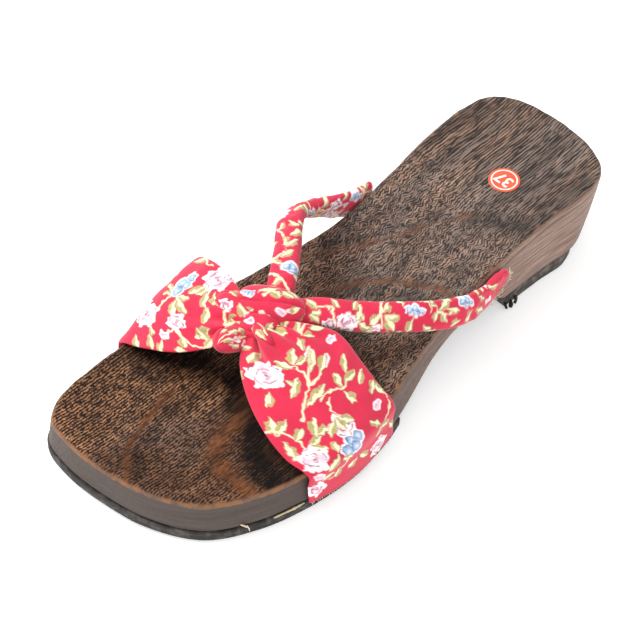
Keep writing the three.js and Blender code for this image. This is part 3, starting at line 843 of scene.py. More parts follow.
painters = {"leaf": paintLeaf, "stem": paintStem, "rose": paintRose, "blue": paintBlue, "bud": paintBud}


def fromTo(kind, x, y, toX, toY, bend):
    size, turn = math.hypot(toX - x, toY - y), math.degrees(math.atan2(toY - y, toX - x))
    return (kind, x, y, size, turn, bend)


def leaf(x, y, toX, toY, bend=0.3):
    return fromTo("leaf", x, y, toX, toY, bend)


def stem(x, y, toX, toY, bend=0.2):
    return fromTo("stem", x, y, toX, toY, bend)


def rose(x, y, size, turn=0.0, petals=0.6):
    return ("rose", x, y, size, turn, petals)


def blue(x, y, size, turn=0.0):
    return ("blue", x, y, size, turn, 0.0)


def bud(x, y, size, turn=0.0):
    return ("bud", x, y, size, turn, 0.0)


def sprig(x, y, size, turn, leaves=4, tip="bud"):
    # a bent stem with leaves on both sides and a bud or leaf at its tip
    rows = [("stem", x, y, size, turn, 0.35)]
    angle = math.radians(turn)
    for i in range(leaves):
        t = (i + 0.6) / (leaves + 0.2)
        bow = 0.35 * size * t * (1 - t) * 2
        px = x + math.cos(angle) * t * size - math.sin(angle) * bow
        py = y + math.sin(angle) * t * size + math.cos(angle) * bow
        side = 1 if i % 2 else -1
        rows.append(("leaf", px, py, 5.4 - 0.3 * i, turn + side * (58 - 6 * i), side * 0.4))
    rows.append((tip, x + math.cos(angle) * size, y + math.sin(angle) * size, 4.6, turn - 15, 0.3))
    return rows


def paintCloth(at, motifs):
    at = at + 0.32 * np.column_stack([waves(at, 3.2, 51), waves(at, 3.2, 52)])  # an unsteady hand
    colours = np.tile(ink["ground"], (len(at), 1))
    for kind, x, y, size, turn, extra in motifs:
        angle = math.radians(turn)
        dx, dy = at[:, 0] - x, at[:, 1] - y
        near = np.nonzero(np.hypot(dx, dy) < size * 1.15 + 1)[0]
        if len(near) == 0:
            continue
        dx, dy = dx[near], dy[near]
        along = dx * math.cos(angle) + dy * math.sin(angle)
        across = dy * math.cos(angle) - dx * math.sin(angle)
        painters[kind](colours, near, along, across, size, extra)
    return np.column_stack([colours, np.ones(len(at))])


def printedCotton():
    # plain-woven cotton, reactive print: matt with a faint fuzz, thread shadow and slight fading
    material, tree, shader = newMaterial("printedCotton", 0.88, 1.47, sheen=0.25, specular=0.25)
    shader.inputs["Sheen Roughness"].default_value = 0.5
    colour = addNode(tree, "Attribute", output="Color", attribute_name="print")
    cloth = addNode(tree, "Attribute", output="Vector", attribute_name="cloth")
    fading, fuzz = (
        addNode(tree, "TexNoise", {"Vector": cloth, "Scale": scale, "Detail": 3.0, "Roughness": 0.6})
        for scale in (0.08, 0.9)
    )
    threads = {"Vector": cloth, "Scale": math.pi / 10 / clothBuild["threadSpacing"], "Distortion": 0.6}
    weft, warp = (addNode(tree, "TexWave", threads, output=1, bands_direction=axis) for axis in "XY")
    weave = addNode(tree, "Math", (weft, warp), operation="MULTIPLY")
    for value, low, high, darkest, palest in ((fading, 0.3, 0.7, 0.9, 1.06), (weave, 0.0, 1.0, 0.94, 1.04)):
        inputs = {"Value": value, "From Min": low, "From Max": high, "To Min": darkest, "To Max": palest}
        tone = addNode(tree, "MapRange", inputs)
        colour = addNode(tree, "VectorMath", {0: colour, "Scale": tone}, operation="SCALE")
    tree.links.new(colour, shader.inputs["Base Color"])
    normal = addNode(tree, "Bump", {"Height": weave, "Strength": 0.25, "Distance": 0.25 * mm})
    inputs = {"Height": fuzz, "Strength": 0.2, "Distance": 0.4 * mm, "Normal": normal}
    tree.links.new(addNode(tree, "Bump", inputs), shader.inputs["Normal"])
    return material


cotton = printedCotton()


# the bow's wings
# lines across each wing from the knot out over the sole's edge: front edge, middle, rear edge
wings = {
    "lateralWing": {
        "side": 1,
        "rows": [
            [(-8, -50, 36.5), (-6.5, -44, 38.5), (-6, -38, 39.5)],
            [(-4, -57.5, 35.5), (1, -47, 41), (3, -32.5, 41)],
            [(8, -66, 33), (13, -47, 38.5), (14.5, -25.5, 38.5)],
            [(22, -71, 29.5), (25, -47, 35), (26, -25.5, 34.5)],
            [(34, -71.5, 24.5), (37.5, -47, 29.5), (36, -26, 30)],
        ],
        "ends": {"front": -69.5, "rear": -25, "crest": (21.5, 24, 23.5), "low": (6.2, 5.4, 7.5)},
        "creases": [
            {"knot": 0.3, "end": 0.2, "depth": 3.6, "width": 0.05, "length": 0.3},
            {"knot": 0.52, "end": 0.42, "depth": 1.8, "width": 0.06, "length": 0.36},
            {"knot": 0.7, "end": 0.66, "depth": 1.0, "width": 0.06, "length": 0.3},
            {"knot": 0.84, "end": 0.9, "depth": 1.3, "width": 0.05, "length": 0.44},
        ],
        "size": (0.047, 0.076),
    },
    "medialWing": {
        "side": -1,
        "rows": [
            [(-7, -47, 38), (-8, -43, 38.5), (-9, -39, 38.5)],
            [(-13.5, -60, 36), (-18, -49, 41), (-22, -39, 42)],
            [(-24, -70, 31.5), (-29, -53, 39), (-33, -36, 41)],
            [(-37, -75, 26.5), (-41, -55, 35.5), (-43.5, -35, 39.5)],
            [(-47.5, -76.5, 21.5), (-50.5, -55, 29.5), (-50.5, -34.5, 34)],
        ],
        "ends": {"front": -76, "rear": -34, "crest": (18, 21, 22), "low": (5.5, 6, 8.5)},
        "creases": [
            {"knot": 0.22, "end": 0.12, "depth": 2.0, "width": 0.05, "length": 0.42},
            {"knot": 0.42, "end": 0.36, "depth": 1.5, "width": 0.06, "length": 0.5},
            {"knot": 0.6, "end": 0.66, "depth": 1.6, "width": 0.05, "length": 0.34},
            {"knot": 0.8, "end": 0.88, "depth": 1.3, "width": 0.06, "length": 0.44},
        ],
        "size": (0.045, 0.072),
    },
}


def acrossThree(values, v):  # the curve through a front, a middle and a rear value
    a, b, c = values
    return a * (1 - v) * (1 - 2 * v) + 4 * b * v * (1 - v) + c * v * (2 * v - 1)


def wingGrid(wing, shares, lengthCount):
    # middle surface of a wing: (across, along, xyz)
    side, ends = wing["side"], wing["ends"]
    free = []
    for row in wing["rows"]:
        front, middle, rear = (np.array(p, float) for p in row)
        free.append(acrossThree((front, middle, rear), shares[:, None]))
    y = mix(ends["front"], ends["rear"], shares)
    off = clothBuild["clearance"] + clothBuild["thickness"] / 2 + 0.5
    wallAt = sideOf(y, side) + side * off
    crest, low = acrossThree(ends["crest"], shares), acrossThree(ends["low"], shares)
    between = (crest + low) / 2
    flare = lambda z: side * sole["wallFlare"] * np.maximum(0, 1 - z / edgeHeight(y))
    free.append(np.column_stack([wallAt + side * 0.6, y, crest]))
    free.append(np.column_stack([wallAt + flare(between), y, between]))
    free.append(np.column_stack([wallAt + flare(low), y, low]))
    curves = curveThrough(np.stack(free, axis=1))
    return np.stack([evenly(line, lengthCount) for line in curves])


def edgeShares(count, rounded):  # closer steps where the folded edges roll over
    roll = rounded * (1 - np.cos(np.linspace(0, np.pi / 2, 7)[:-1]))
    return np.concatenate([roll, np.linspace(rounded, 1 - rounded, count), 1 - roll[::-1]])


def surfaceNormals(grid):
    across = np.gradient(grid, axis=0)
    along = np.gradient(grid, axis=1)
    return unit(np.cross(across, along))


def wingSheet(name):
    wing = wings[name]
    shares = edgeShares(clothBuild["widthCount"], clothBuild["rounded"])
    middle = wingGrid(wing, shares, clothBuild["lengthCount"])
    normals = surfaceNormals(middle)
    if normals[len(shares) // 2, clothBuild["lengthCount"] // 5, 2] < 0:
        normals = -normals
    t = np.linspace(0, 1, clothBuild["lengthCount"])[None, :]
    v = shares[:, None]
    lift = np.zeros(middle.shape[:2])
    for crease in wing["creases"]:
        line = mix(crease["knot"], crease["end"], t)
        fade = (1 - smooth(t, crease["length"] * 0.35, crease["length"])) * smooth(t, -0.02, 0.05)
        width = crease["width"] * (0.7 + 1.2 * t)
        lift += crease["depth"] * fade * (0.55 * bump(v, line + 1.5 * width, width) - bump(v, line, width))
    flat = np.column_stack([(v + 0 * t).ravel() * 40, (t + 0 * v).ravel() * 60])
    onWall = smooth(t, *clothBuild["onWall"])
    rumple = sum(height * waves(flat, size, seed) for height, size, seed in clothBuild["rumple"])
    lift += rumple.reshape(lift.shape) * (1 - 0.7 * onWall)
    centre = middle + normals * lift[..., None]
    edge = np.clip(1 - np.minimum(v, 1 - v) / clothBuild["rounded"], 0, 1)
    half = clothBuild["thickness"] / 2 * np.sqrt(np.maximum(0, 1 - edge**2)) * clothBuild["pressed"]
    pinch = 1 - clothBuild["pinch"] * smooth(t, 0.93, 1.0)
    half = half * pinch + 0 * t
    top, under = centre + normals * half[..., None], centre - normals * half[..., None]
    return wing, shares, top, under, middle


def clothPlane(middle, shares):
    # millimetres on the cloth itself: along from the knot, and across from the middle
    steps = np.linalg.norm(np.diff(middle, axis=1), axis=2)
    along = np.concatenate([np.zeros((len(shares), 1)), np.cumsum(steps, axis=1)], axis=1)
    centreLine = along[len(shares) // 2]
    spread = np.linalg.norm(np.diff(middle, axis=0), axis=2)
    across = np.concatenate([np.zeros((1, middle.shape[1])), np.cumsum(spread, axis=0)])
    across = across - across[-1:] / 2
    return np.broadcast_to(centreLine, across.shape), across


def shell(top, under):
    # joins two grids of the same size into one closed body
    rows, columns = top.shape[:2]
    index = np.arange(rows * columns).reshape(rows, columns)
    lower = index + rows * columns
    faces = [gridFaces(index), gridFaces(lower, flip=True)]
    for a, b in (
        (index[0], lower[0]),
        (lower[-1], index[-1]),
        (lower[:, 0], index[:, 0]),
        (index[:, -1], lower[:, -1]),
    ):
        faces.append(np.stack([a[:-1], b[:-1], b[1:], a[1:]], axis=1))
    return np.concatenate([top.reshape(-1, 3), under.reshape(-1, 3)]), np.concatenate(faces)


# the print, placed in millimetres on the cloth: along from the knot, then across
prints = {
    "lateralWing": [
        rose(19.5, -10.5, 14, 20), leaf(26, -14, 31, -18), leaf(13.5, -16, 17, -22),
        leaf(25, -7, 29, -4.5), leaf(22, -1.5, 16.5, -4.5), leaf(21.5, -0.5, 16, 3.5), leaf(22, 0, 22, 5),
        stem(31, -1, 21.5, -1.5, -0.3), leaf(26, -2.5, 31.5, -9), stem(41, -10, 31, -1, 0.1),
        stem(31, -1, 23, 6, 0.1), bud(21.5, 7, 5.5, 135), leaf(27, 2.5, 20, 8.5, -0.2),
        stem(31, -1, 28, 8, -0.2), bud(27.5, 10, 5.5, 105), leaf(30, 5.5, 25.5, 11.5),
        leaf(37, -6, 34, 4.5, 0.2), stem(37.5, -0.5, 39.5, 9.5, 0.3), stem(39.5, 9.5, 36, 15, -0.2),
        leaf(36.5, 14, 31, 17.5), leaf(39, 9.5, 33, 10.5), leaf(38.5, 11, 38.5, 18),
        leaf(40.5, 9, 46.5, 11), stem(38.5, 3, 46, 2.5, -0.5), rose(49.5, 0.5, 10.5, 60, 2.0),
        leaf(46, 1.5, 50.5, 5.5, 0.1), leaf(46, -0.5, 50.5, -5.5, 0.1), leaf(45.5, 0.5, 51.5, 0.5, 0.1),
        blue(57, -1, 12, 114), leaf(42, -21.5, 34.5, -19, 0.3), leaf(42, -21, 38, -14.5),
        stem(39, -24, 46, -16, 0.3), stem(46, -16, 50, -15.5), leaf(44, -20.5, 53.5, -21.5, 0.5),
        leaf(46.5, -16.5, 43, -11.5), leaf(48.5, -9.5, 41.5, -6.5), leaf(48, -9, 47, -3.5),
        leaf(50, -13.5, 49, -8), leaf(51, -14, 54, -9.5), rose(55.5, -16.5, 12, -40, 1.2),
        leaf(57, -8, 52.5, -6), leaf(57.5, -8, 62, -14.5), leaf(60, -8, 61, -3),
        stem(60, -5, 68.5, -13.5, 0.3), leaf(64, -9, 69.5, -10.5), leaf(65, -11, 66, -17),
        bud(63, -18.5, 6, 60), leaf(66, 1, 70.5, 5.5), leaf(66, 0, 69, -5), rose(72, 12, 10, 90, 0.2),
        rose(70, -19.5, 9, 90, 0.8), leaf(47, 21, 53, 22.5), leaf(49, 17.5, 46.5, 22.5),
        stem(53, 23, 59, 15, 0.3), leaf(60, 11.5, 63, 17.5), leaf(59, 12.5, 54.5, 9.5),
        leaf(60.5, 12, 65, 10), bud(53, 16.5, 5, 80), leaf(66, 19, 71, 21), leaf(14, 9.5, 9.5, 12.5),
        leaf(14.5, 10, 18, 13.5), leaf(14, 8.5, 19, 6), stem(14, 9.5, 14, 17, 0.3),
        leaf(14.5, 14, 19.5, 18.5), leaf(14, 17, 9.5, 19), leaf(3, 1, 10, 6.5, 0.1),
        leaf(2, 4, 7, 10, 0.1), leaf(7, -7, 3, -11), stem(3, -12, 12, -20, 0.3), leaf(9, -6, 12, -12),
        bud(24, 17.5, 4.5, 60), leaf(40, 21, 43, 16), leaf(12, -21, 16, -24),
    ],
    "medialWing": [
        rose(25, 13, 13, 70, 0.3), rose(21, 15.5, 8, 0, 2.2), leaf(27, 8.5, 31.5, 3.5),
        leaf(25, 8, 28.5, 4, 0.1), leaf(24, 7.5, 22.5, -0.5, 0.5), leaf(21.5, 7, 19, 2),
        leaf(20.5, 0.5, 20.5, -6), stem(23, 2, 20, -1), blue(36.5, 7, 12.5, 110), leaf(39, 1.5, 43.5, 1),
        stem(38.5, 0.5, 41.5, -7, 0.2), leaf(40, 3, 44, 5.5), leaf(36, 1.5, 28.5, -4, 0.5),
        leaf(35, 1, 30, 1.5), leaf(36, -0.5, 33.5, -7.5), rose(46.8, -9, 13, 20, 1.6),
        bud(50.5, -3.5, 5.5, 100), leaf(43, -13, 40, -16.5), rose(31.5, -8.5, 8.5, 0, 2.6),
        leaf(17.5, -7, 23, -12), leaf(17, -12, 22.5, -8.5), leaf(15.5, -9.5, 18, -15),
        stem(35, -15, 29.5, -12, -0.3), stem(29.5, -12, 18, -14.5, 0.3), bud(35.5, -15, 5, 0),
        leaf(29, -12.5, 25.5, -17), leaf(41.5, -16, 39.5, -22), leaf(36, -17, 35.5, -22.5),
        leaf(30, -19, 25.5, -18), leaf(41.5, 18, 35.5, 21), stem(36, 20, 31, 18, 0.3),
        leaf(50, 2.5, 45, 9), bud(45.5, 11.5, 5, 120), leaf(44, 14, 48, 18), leaf(53, -12, 57, -18.5),
        stem(58, -14, 61, -21, 0.2), leaf(12, 9.5, 17.5, 7.5), leaf(9, 5, 14.5, 0.5), leaf(8, 1, 12, -4),
        stem(14, 4, 8, -8, 0.3), blue(56, 6, 9, 60), leaf(53, 9, 50, 14), leaf(54, 1, 57, -4),
        rose(59, -4, 9, 0, 0.9), leaf(60, 12, 56, 16), bud(12, -8, 4.5, 30), leaf(62, 4, 66, 8),
        leaf(64, -10, 67, -15), blue(66, 0, 8, 0), leaf(49, -18, 46, -23), leaf(30, 20, 26, 22),
        leaf(14, 14, 10, 12),
    ],
    "lateralStrap": [
        leaf(8, 3, 12.5, 0.5), leaf(10, -2, 7, -5), leaf(13.5, -4.5, 17, -1), leaf(14, 3, 18.5, 0.5, 0.1),
        leaf(14, 1.5, 18, 4.5, 0.1), stem(17, -1, 23, -1, -0.2), leaf(22, -5, 25, -2),
        stem(23, -1, 25, 4, 0.3), rose(28.5, 3, 8.5), rose(22, 5, 5.5, 0, 1.8), leaf(32, 3, 33, -2.5),
        leaf(32.5, 3, 37, 5.5), leaf(30, -1.5, 31.5, -5.5), stem(33, -4, 34.5, 2, 0.2),
        leaf(41, -1, 36.5, 3.5), leaf(41, -1, 44.5, -5), leaf(42, 0, 48, 0.5, 0.4),
        leaf(42, 0.5, 46, 5.5), stem(41, -5, 41.5, 5, 0.1), bud(39, 4.5, 4), blue(54, -2.5, 7.5, 10),
        leaf(53, 1, 51, 6), leaf(50, -4, 47.5, -6.5), stem(57, -6, 60, -2, -0.5), leaf(62, -3, 60, -6.5),
        leaf(63, -2.5, 67.5, -6), leaf(62.5, -2, 61, 2), leaf(64, -2, 66, 2.5),
        leaf(66, -2.5, 71.5, -1.5, 0.1), stem(62, -2.5, 68, -1), blue(75, -4.5, 7, 20),
        leaf(72, 2, 68, 4.5), leaf(78, 0, 75, 4), leaf(81, -5, 85, -2.5), leaf(80, 0, 85, 3),
        bud(88, 0, 4.5), leaf(91, -5, 95, -3), leaf(57, 3, 60, 5.5), stem(24, 8, 40, 10),
        *sprig(12, 12, 12, 10, 4), blue(32, 13, 7), *sprig(40, 13, 12, 0, 4), *sprig(62, 13, 12, 10, 4),
        *sprig(6, -12, 12, 0, 4), *sprig(28, -12, 14, 0, 4), rose(50, -12, 8), *sprig(60, -12, 14, 0, 4),
        rose(84, -11, 7),
    ],
    "medialStrap": [
        blue(19.5, 4, 8, 100), leaf(21, -1, 24, -6), leaf(24, -1, 27, 3.5), stem(24, -6, 28, 1, 0.3),
        leaf(29, 0, 32, 5), leaf(30, 1, 34, -0.5), leaf(33, -3, 30.5, -7), leaf(34, 2, 37, 6),
        stem(30, 0, 41, -6, 0.3), leaf(38, -3, 42, -1), leaf(42, 1, 39, 5), rose(48, -3, 8.5, 0, 0.4),
        leaf(44, -6, 41, -8.5), leaf(47, 3, 51, 5.5), leaf(52, -5, 49, -8), stem(51, 2, 55, 6, -0.3),
        stem(60, -6, 62, 5, 0.2), leaf(61, 1, 66, 3), leaf(62, -2, 67, -4), leaf(67, 4, 71, 2),
        bud(70, -3, 4.5), leaf(73, 2, 77, -1), bud(79, -3, 4, 30), leaf(82, 2, 86, 0), leaf(12, 3, 8, 6),
        leaf(12, -3, 15, 1), stem(10, 5, 17, -5, 0.2), *sprig(10, 12, 12, 10, 4), blue(32, 13, 7),
        *sprig(40, 13, 12, 0, 4), *sprig(62, 13, 12, 10, 4), *sprig(6, -12, 12, 0, 4),
        *sprig(28, -12, 14, 0, 4), rose(50, -12, 8), *sprig(60, -12, 14, 0, 4),
    ],
}

repeatLength = 24  # mm, of the small repeat along both folded sides of a strap
for strapName, first in (("lateralStrap", 2), ("medialStrap", 6)):
    for start in range(first, 104, repeatLength):
        for edge in (8.6, -9.2):
            prints[strapName] += [
                blue(start + 3, edge, 6.5, 20), stem(start + 6, edge - 2, start + 13, edge + 1, 0.3),
                leaf(start + 8, edge - 1, start + 12, edge - 3.4),
                leaf(start + 9, edge, start + 7, edge + 3.6), rose(start + 16, edge + 0.6, 7, start * 7),
                leaf(start + 19, edge - 1, start + 22.5, edge - 3),
                leaf(start + 12, edge + 1.5, start + 10.5, edge + 4), bud(start + 22, edge + 2, 4, 30),
            ]

hems = {}
for wingName in wings:
    wing, shares, top, under, middle = wingSheet(wingName)
    alongCloth, acrossCloth = clothPlane(middle, shares)
    onCloth = np.column_stack([alongCloth.ravel(), acrossCloth.ravel()])
    faceInk = paintCloth(onCloth, prints[wingName])
    onBack = np.column_stack([onCloth[:, 0] + clothBuild["backShift"], -onCloth[:, 1]])
    backInk = paintCloth(onBack, prints[wingName])
    points, faces = shell(top, under)
    clothAt = np.column_stack([np.tile(onCloth, (2, 1)), np.zeros(len(points))])
    marks = {"print": np.concatenate([faceInk, backInk]), "cloth": clothAt}
    piece = addMesh(wingName, points, faces, cotton, marks)
    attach(piece, "root")
    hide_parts("bow_strap")
    hems[wingName] = middle[clothBuild["hemMargin"] : -clothBuild["hemMargin"], -1]
print("bow wings made")


# rear straps
straps = {
    "lateralStrap": {
        "rows": [
            (-8, -38, 39, 10, 8, 20), (2, -25, 40, 11.5, 7.5, 26), (13.5, -14, 38.5, 12, 7, 30),
            (23, -2, 36.5, 12, 6.5, 38), (31.2, 10, 34.5, 12, 6, 54), (35.6, 22, 31.5, 12.5, 5.2, 74),
            (35.5, 34, 28.8, 12.5, 4.6, 88), (35.2, 40.5, 30.8, 9.8, 4.2, 90),
            (34.8, 47.5, 32.2, 6.6, 3.4, 90),
        ],
        "folds": [(0.1, 0.8), (0.62, 0.35), (0.74, 0.5)],
    },
    "medialStrap": {
        "rows": [
            (-8, -38, 39, 10, 8, -10), (-14.5, -26, 43, 11, 7.5, -14), (-24, -13.5, 44.5, 11, 7, -20),
            (-33, -3, 44, 11.5, 6.5, -34), (-37, 5, 41.5, 12, 6.5, -52), (-36, 14, 38, 12, 6, -68),
            (-33.6, 23.5, 34, 13, 5, -82), (-32.2, 33, 30.4, 14, 4.4, -90), (-32.6, 41.5, 28, 14, 4.2, -90),
        ],
        "folds": [(0.12, 0.8), (0.42, 0.9), (0.52, 0.7), (0.6, 0.5)],
    },
}
strapBuild = {
    "alongCount": 260,
    "roundCount": 84,
    "squareness": 0.72,
    "fill": 0.55,
    "crumple": ((0.16, 9, 17), (0.1, 4.5, 18)),  # height, wavelength and seed
    "foldDepth": 0.22,
    "foldBulge": 0.35,
    "foldWidth": 0.018,  # share of the strap's length
}


def strapFrames(rows):
    line = curveThrough(np.array(rows, float))
    line = evenly(line, strapBuild["alongCount"])
    centre, width, thickness, turn = line[:, :3], line[:, 3], line[:, 4], np.radians(line[:, 5])
    along = unit(np.gradient(centre, axis=0))
    level = unit(np.column_stack([along[:, 1], -along[:, 0], np.zeros(len(line))]))
    upright = np.cross(along, level)
    wide = level * np.cos(turn)[:, None] + upright * np.sin(turn)[:, None]
    thick = unit(np.cross(wide, along))
    return centre, along, wide, thick, width, thickness


def strapTube(name):
    strap = straps[name]
    centre, along, wide, thick, width, thickness = strapFrames(strap["rows"])
    count = strapBuild["alongCount"]
    angle = np.linspace(0, 2 * np.pi, strapBuild["roundCount"], endpoint=False)
    squash = lambda value: np.sign(value) * np.abs(value) ** strapBuild["squareness"]
    t = np.linspace(0, 1, count)
    length = np.r_[0, np.cumsum(np.linalg.norm(np.diff(centre, axis=0), axis=1))]
    across = squash(np.cos(angle))[None, :] * (width * 0.97 / 2)[:, None]
    through = squash(np.sin(angle))[None, :] * (thickness * 0.9 / 2)[:, None]
    flat = np.column_stack([np.repeat(length, len(angle)), across.ravel()])
    for place, depth in strap["folds"]:
        line = place + 0.035 * np.sin(angle)[None, :] + 0.02 * np.cos(angle * 2)[None, :]
        valley = bump(t[:, None], line, strapBuild["foldWidth"])
        through = through * (1 - strapBuild["foldDepth"] * depth * valley)
        swell = bump(t[:, None], line + 0.03, 0.02)
        through = through + strapBuild["foldBulge"] * depth * swell * np.sign(through)
    crumple = sum(height * waves(flat, size, seed) for height, size, seed in strapBuild["crumple"])
    through = through + crumple.reshape(across.shape) * np.sign(np.sin(angle))[None, :]
    middleSeam = bump(np.cos(angle), -1.0, 0.1) * 0.5
    across = across * (1 - 0.05 * middleSeam[None, :])
    endRound = np.clip(np.minimum(1, (count - 1 - np.arange(count)) / 5 + 0.55), 0, 1)[:, None]
    grid = centre[:, None, :] + wide[:, None, :] * (across * endRound)[..., None]
    grid = grid + thick[:, None, :] * (through * endRound)[..., None]
    return grid, length, angle, across


def closedTube(grid):
    rows, count = grid.shape[:2]
    index = np.arange(rows * count).reshape(rows, count)
    wrapped = np.concatenate([index, index[:, :1]], axis=1)
    faces = [gridFaces(wrapped)]
    points = [grid.reshape(-1, 3)]
    total = rows * count
    for end, flip in ((0, True), (rows - 1, False)):
        points.append(grid[end].mean(axis=0)[None])
        hub = np.full(count, total)
        fan = np.stack([wrapped[end][:-1], wrapped[end][1:], hub, hub], axis=1)
        faces.append(fan[:, ::-1] if flip else fan)
        total += 1
    return np.concatenate(points), np.concatenate(faces)


for strapName in straps:
    grid, length, angle, across = strapTube(strapName)
    fold = np.where(np.sin(angle) >= 0, 0.0, 1.0)[None, :]
    halfWidth = np.abs(across).max(axis=1)[:, None]
    clothAcross = across * (1 - 2 * fold) + fold * 2 * halfWidth * np.sign(across + 1e-6)
    onCloth = np.column_stack([np.repeat(length, len(angle)), clothAcross.ravel()])
    points, faces = closedTube(grid)
    onCloth = np.concatenate([onCloth, onCloth[:1], onCloth[-1:]])
    marks = {
        "print": paintCloth(onCloth, prints[strapName]),
        "cloth": np.column_stack([onCloth, np.zeros(len(onCloth))]),
    }
    piece = addMesh(strapName, points, faces, cotton, marks)
    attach(piece, "root")
    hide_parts("bow_strap")
print("rear straps made")


# knot
# rolled folds of cloth: the wrapping band, the two necks it gathers and the pleats that leave it
knot = {
    # middle, half sizes, turn, tilt, pleats and their depth
    "folds": [
        ((-10.2, -35.6, 42.8), (13, 6.6, 6.4), 30, 0, 3, 0.13),
        ((-18, -44, 38.6), (10.5, 6.2, 6), 14, 10, 5, 0.1),
        ((-12.2, -52.4, 35.6), (11.5, 5.6, 5), -82, -30, 4, 0.12),
        ((-5, -46.4, 40), (7.6, 2.3, 3.6), -12, -6, 2, 0.05),
        ((-8.5, -42.5, 38.4), (7.5, 6.5, 6), 40, 0, 5, 0.08),
    ],
    "aroundCount": 110,
    "alongCount": 80,
    "fill": 0.8,
}


def knotFold(fold, seed):
    # gathered at both ends, with soft pleats running along it
    at, size, turn, tilt, pleats, depth = fold
    u = np.linspace(0, np.pi, knot["alongCount"])
    w = np.linspace(0, 2 * np.pi, knot["aroundCount"], endpoint=False)
    uu, ww = np.meshgrid(u, w, indexing="ij")
    valley = 1 - np.abs(np.sin(pleats * ww / 2 + 0.5 * np.cos(uu) + 0.7 * seed))
    radius = 1.03 - depth * 2.6 * valley**4 * np.abs(np.cos(uu)) ** 0.4
    spots = np.column_stack([uu.ravel() * 9, ww.ravel() * 6])
    radius = radius + 0.025 * waves(spots, 9, 40 + seed).reshape(uu.shape)
    thin = np.sin(uu) ** 0.8
    local = np.stack([np.cos(uu), thin * np.cos(ww) * radius, thin * np.sin(ww) * radius], axis=-1)
    local = local * np.array(size)
    turn, tilt = math.radians(turn), math.radians(tilt)
    ahead = local[..., 0] * math.cos(tilt) + local[..., 2] * math.sin(tilt)
    up = local[..., 2] * math.cos(tilt) - local[..., 0] * math.sin(tilt)
    x = ahead * math.cos(turn) - local[..., 1] * math.sin(turn)
    y = ahead * math.sin(turn) + local[..., 1] * math.cos(turn)
    grid = np.stack([x, y, up], axis=-1) + np.array(at)
    girth = (size[1] + size[2]) / 2
    onCloth = np.column_stack([-local[..., 0].ravel(), (ww.ravel() - np.pi / 2) * girth * -1])
    return grid, onCloth


prints["knot"] = [
    [
        blue(9, -1.5, 5.5, 20), leaf(2, 2, -4, -0.5), stem(5, 0, -2, 4, 0.2), leaf(-3, 3, -8, 0.5, 0.4),
        leaf(-5, 5, -10, 2), leaf(-1, 5, 4, 6), bud(-5, -6.5, 5, 20), bud(-8.5, -5.5, 3.6),
        stem(3, -2, 0, 2, 0.1), leaf(8, 4, 4, 8), leaf(-11, -2, -9, -7), bud(1.5, -9, 4, 60),
        leaf(5, -8, 9, -11),
    ],
    [
        rose(5, -4, 6, 10), leaf(1, -1, -4, -4), bud(-5, -3, 5, 10), leaf(-2, -8, -7, -9.5),
        leaf(-3, -7, -1, -12), leaf(6, -9, 10, -7), leaf(3, 1, 7, 4), leaf(-7, -6, -5, -10),
        stem(8, -7, -3, -7, 0.2), leaf(0, 4, 5, 6),
    ],
    [
        stem(-1, 1, 6, 2, 0.1), stem(-4, 4, 3, 4.5, 0.1), leaf(-7, 0, -3, 2), leaf(2, 5, 6, 7),
        leaf(-5, -3, 0, -4), leaf(4, -3, 8, -1), stem(-6, -6, 2, -7, 0.1), bud(-2, 7, 4, 20),
        leaf(-11, 2, -7, 4.5), stem(-12, -1, -5, 1, 0.2), leaf(-9, -3, -5.5, -1.5), leaf(-9, 6, -5, 8),
        bud(-6, 4.5, 4), leaf(-3, 1, 1, 3),
    ],
    [leaf(-6, -2, 0, -3), leaf(1, -4, 5, -2), stem(-5, 0, 6, 0.5, 0.1), leaf(-2, 2, 3, 3)],
    [
        leaf(-4, 0, 2, 2), stem(-6, 5, 4, 6), leaf(-2, -5, 3, -6), bud(4, -3, 4), leaf(-5, -3, -2, -8),
        leaf(0, 6, 5, 8),
    ],
]
knotPoints, knotFaces, knotCloth, knotInk = [], [], [], []
vertexTotal = 0
for number, fold in enumerate(knot["folds"]):
    grid, onCloth = knotFold(fold, number)
    points, faces = closedTube(grid)
    onCloth = np.concatenate([onCloth, onCloth[:1], onCloth[-1:]])
    knotPoints.append(points)
    knotFaces.append(faces + vertexTotal)
    knotCloth.append(np.column_stack([onCloth, np.zeros(len(onCloth))]))
    knotInk.append(paintCloth(onCloth, prints["knot"][number]))
    vertexTotal += len(points)
knotPiece = addMesh(
    "knot",
    np.concatenate(knotPoints),
    np.concatenate(knotFaces),
    cotton,
    {"print": np.concatenate(knotInk), "cloth": np.concatenate(knotCloth)},
)
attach(knotPiece, "root")
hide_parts("bow_strap")
print("knot made")


# size sticker on the footbed
sticker = {
    "at": (5.4, 79.2),
    "rings": (0.01, 1, 2, 3, 4, 4.6, 4.8, 5, 5.2, 5.4, 5.6, 6, 6.4),
    "under": 0.04,  # its faces' heights over the footbed
    "top": 0.27,
    "whiteRing": ((4.75, 4.95), (5.55, 5.35)),  # where the white begins and ends, from the middle
    "red": "#cd4727",
    "faded": "#d8623f",
    "white": "#f3ddd2",
    "digits": "37",
    "digitSize": 7.4,
    "digitInk": "#f6e6dc",
    "digitLift": 0.31,
    "digitDepth": 0.04,
    "bold": 0.12,
}


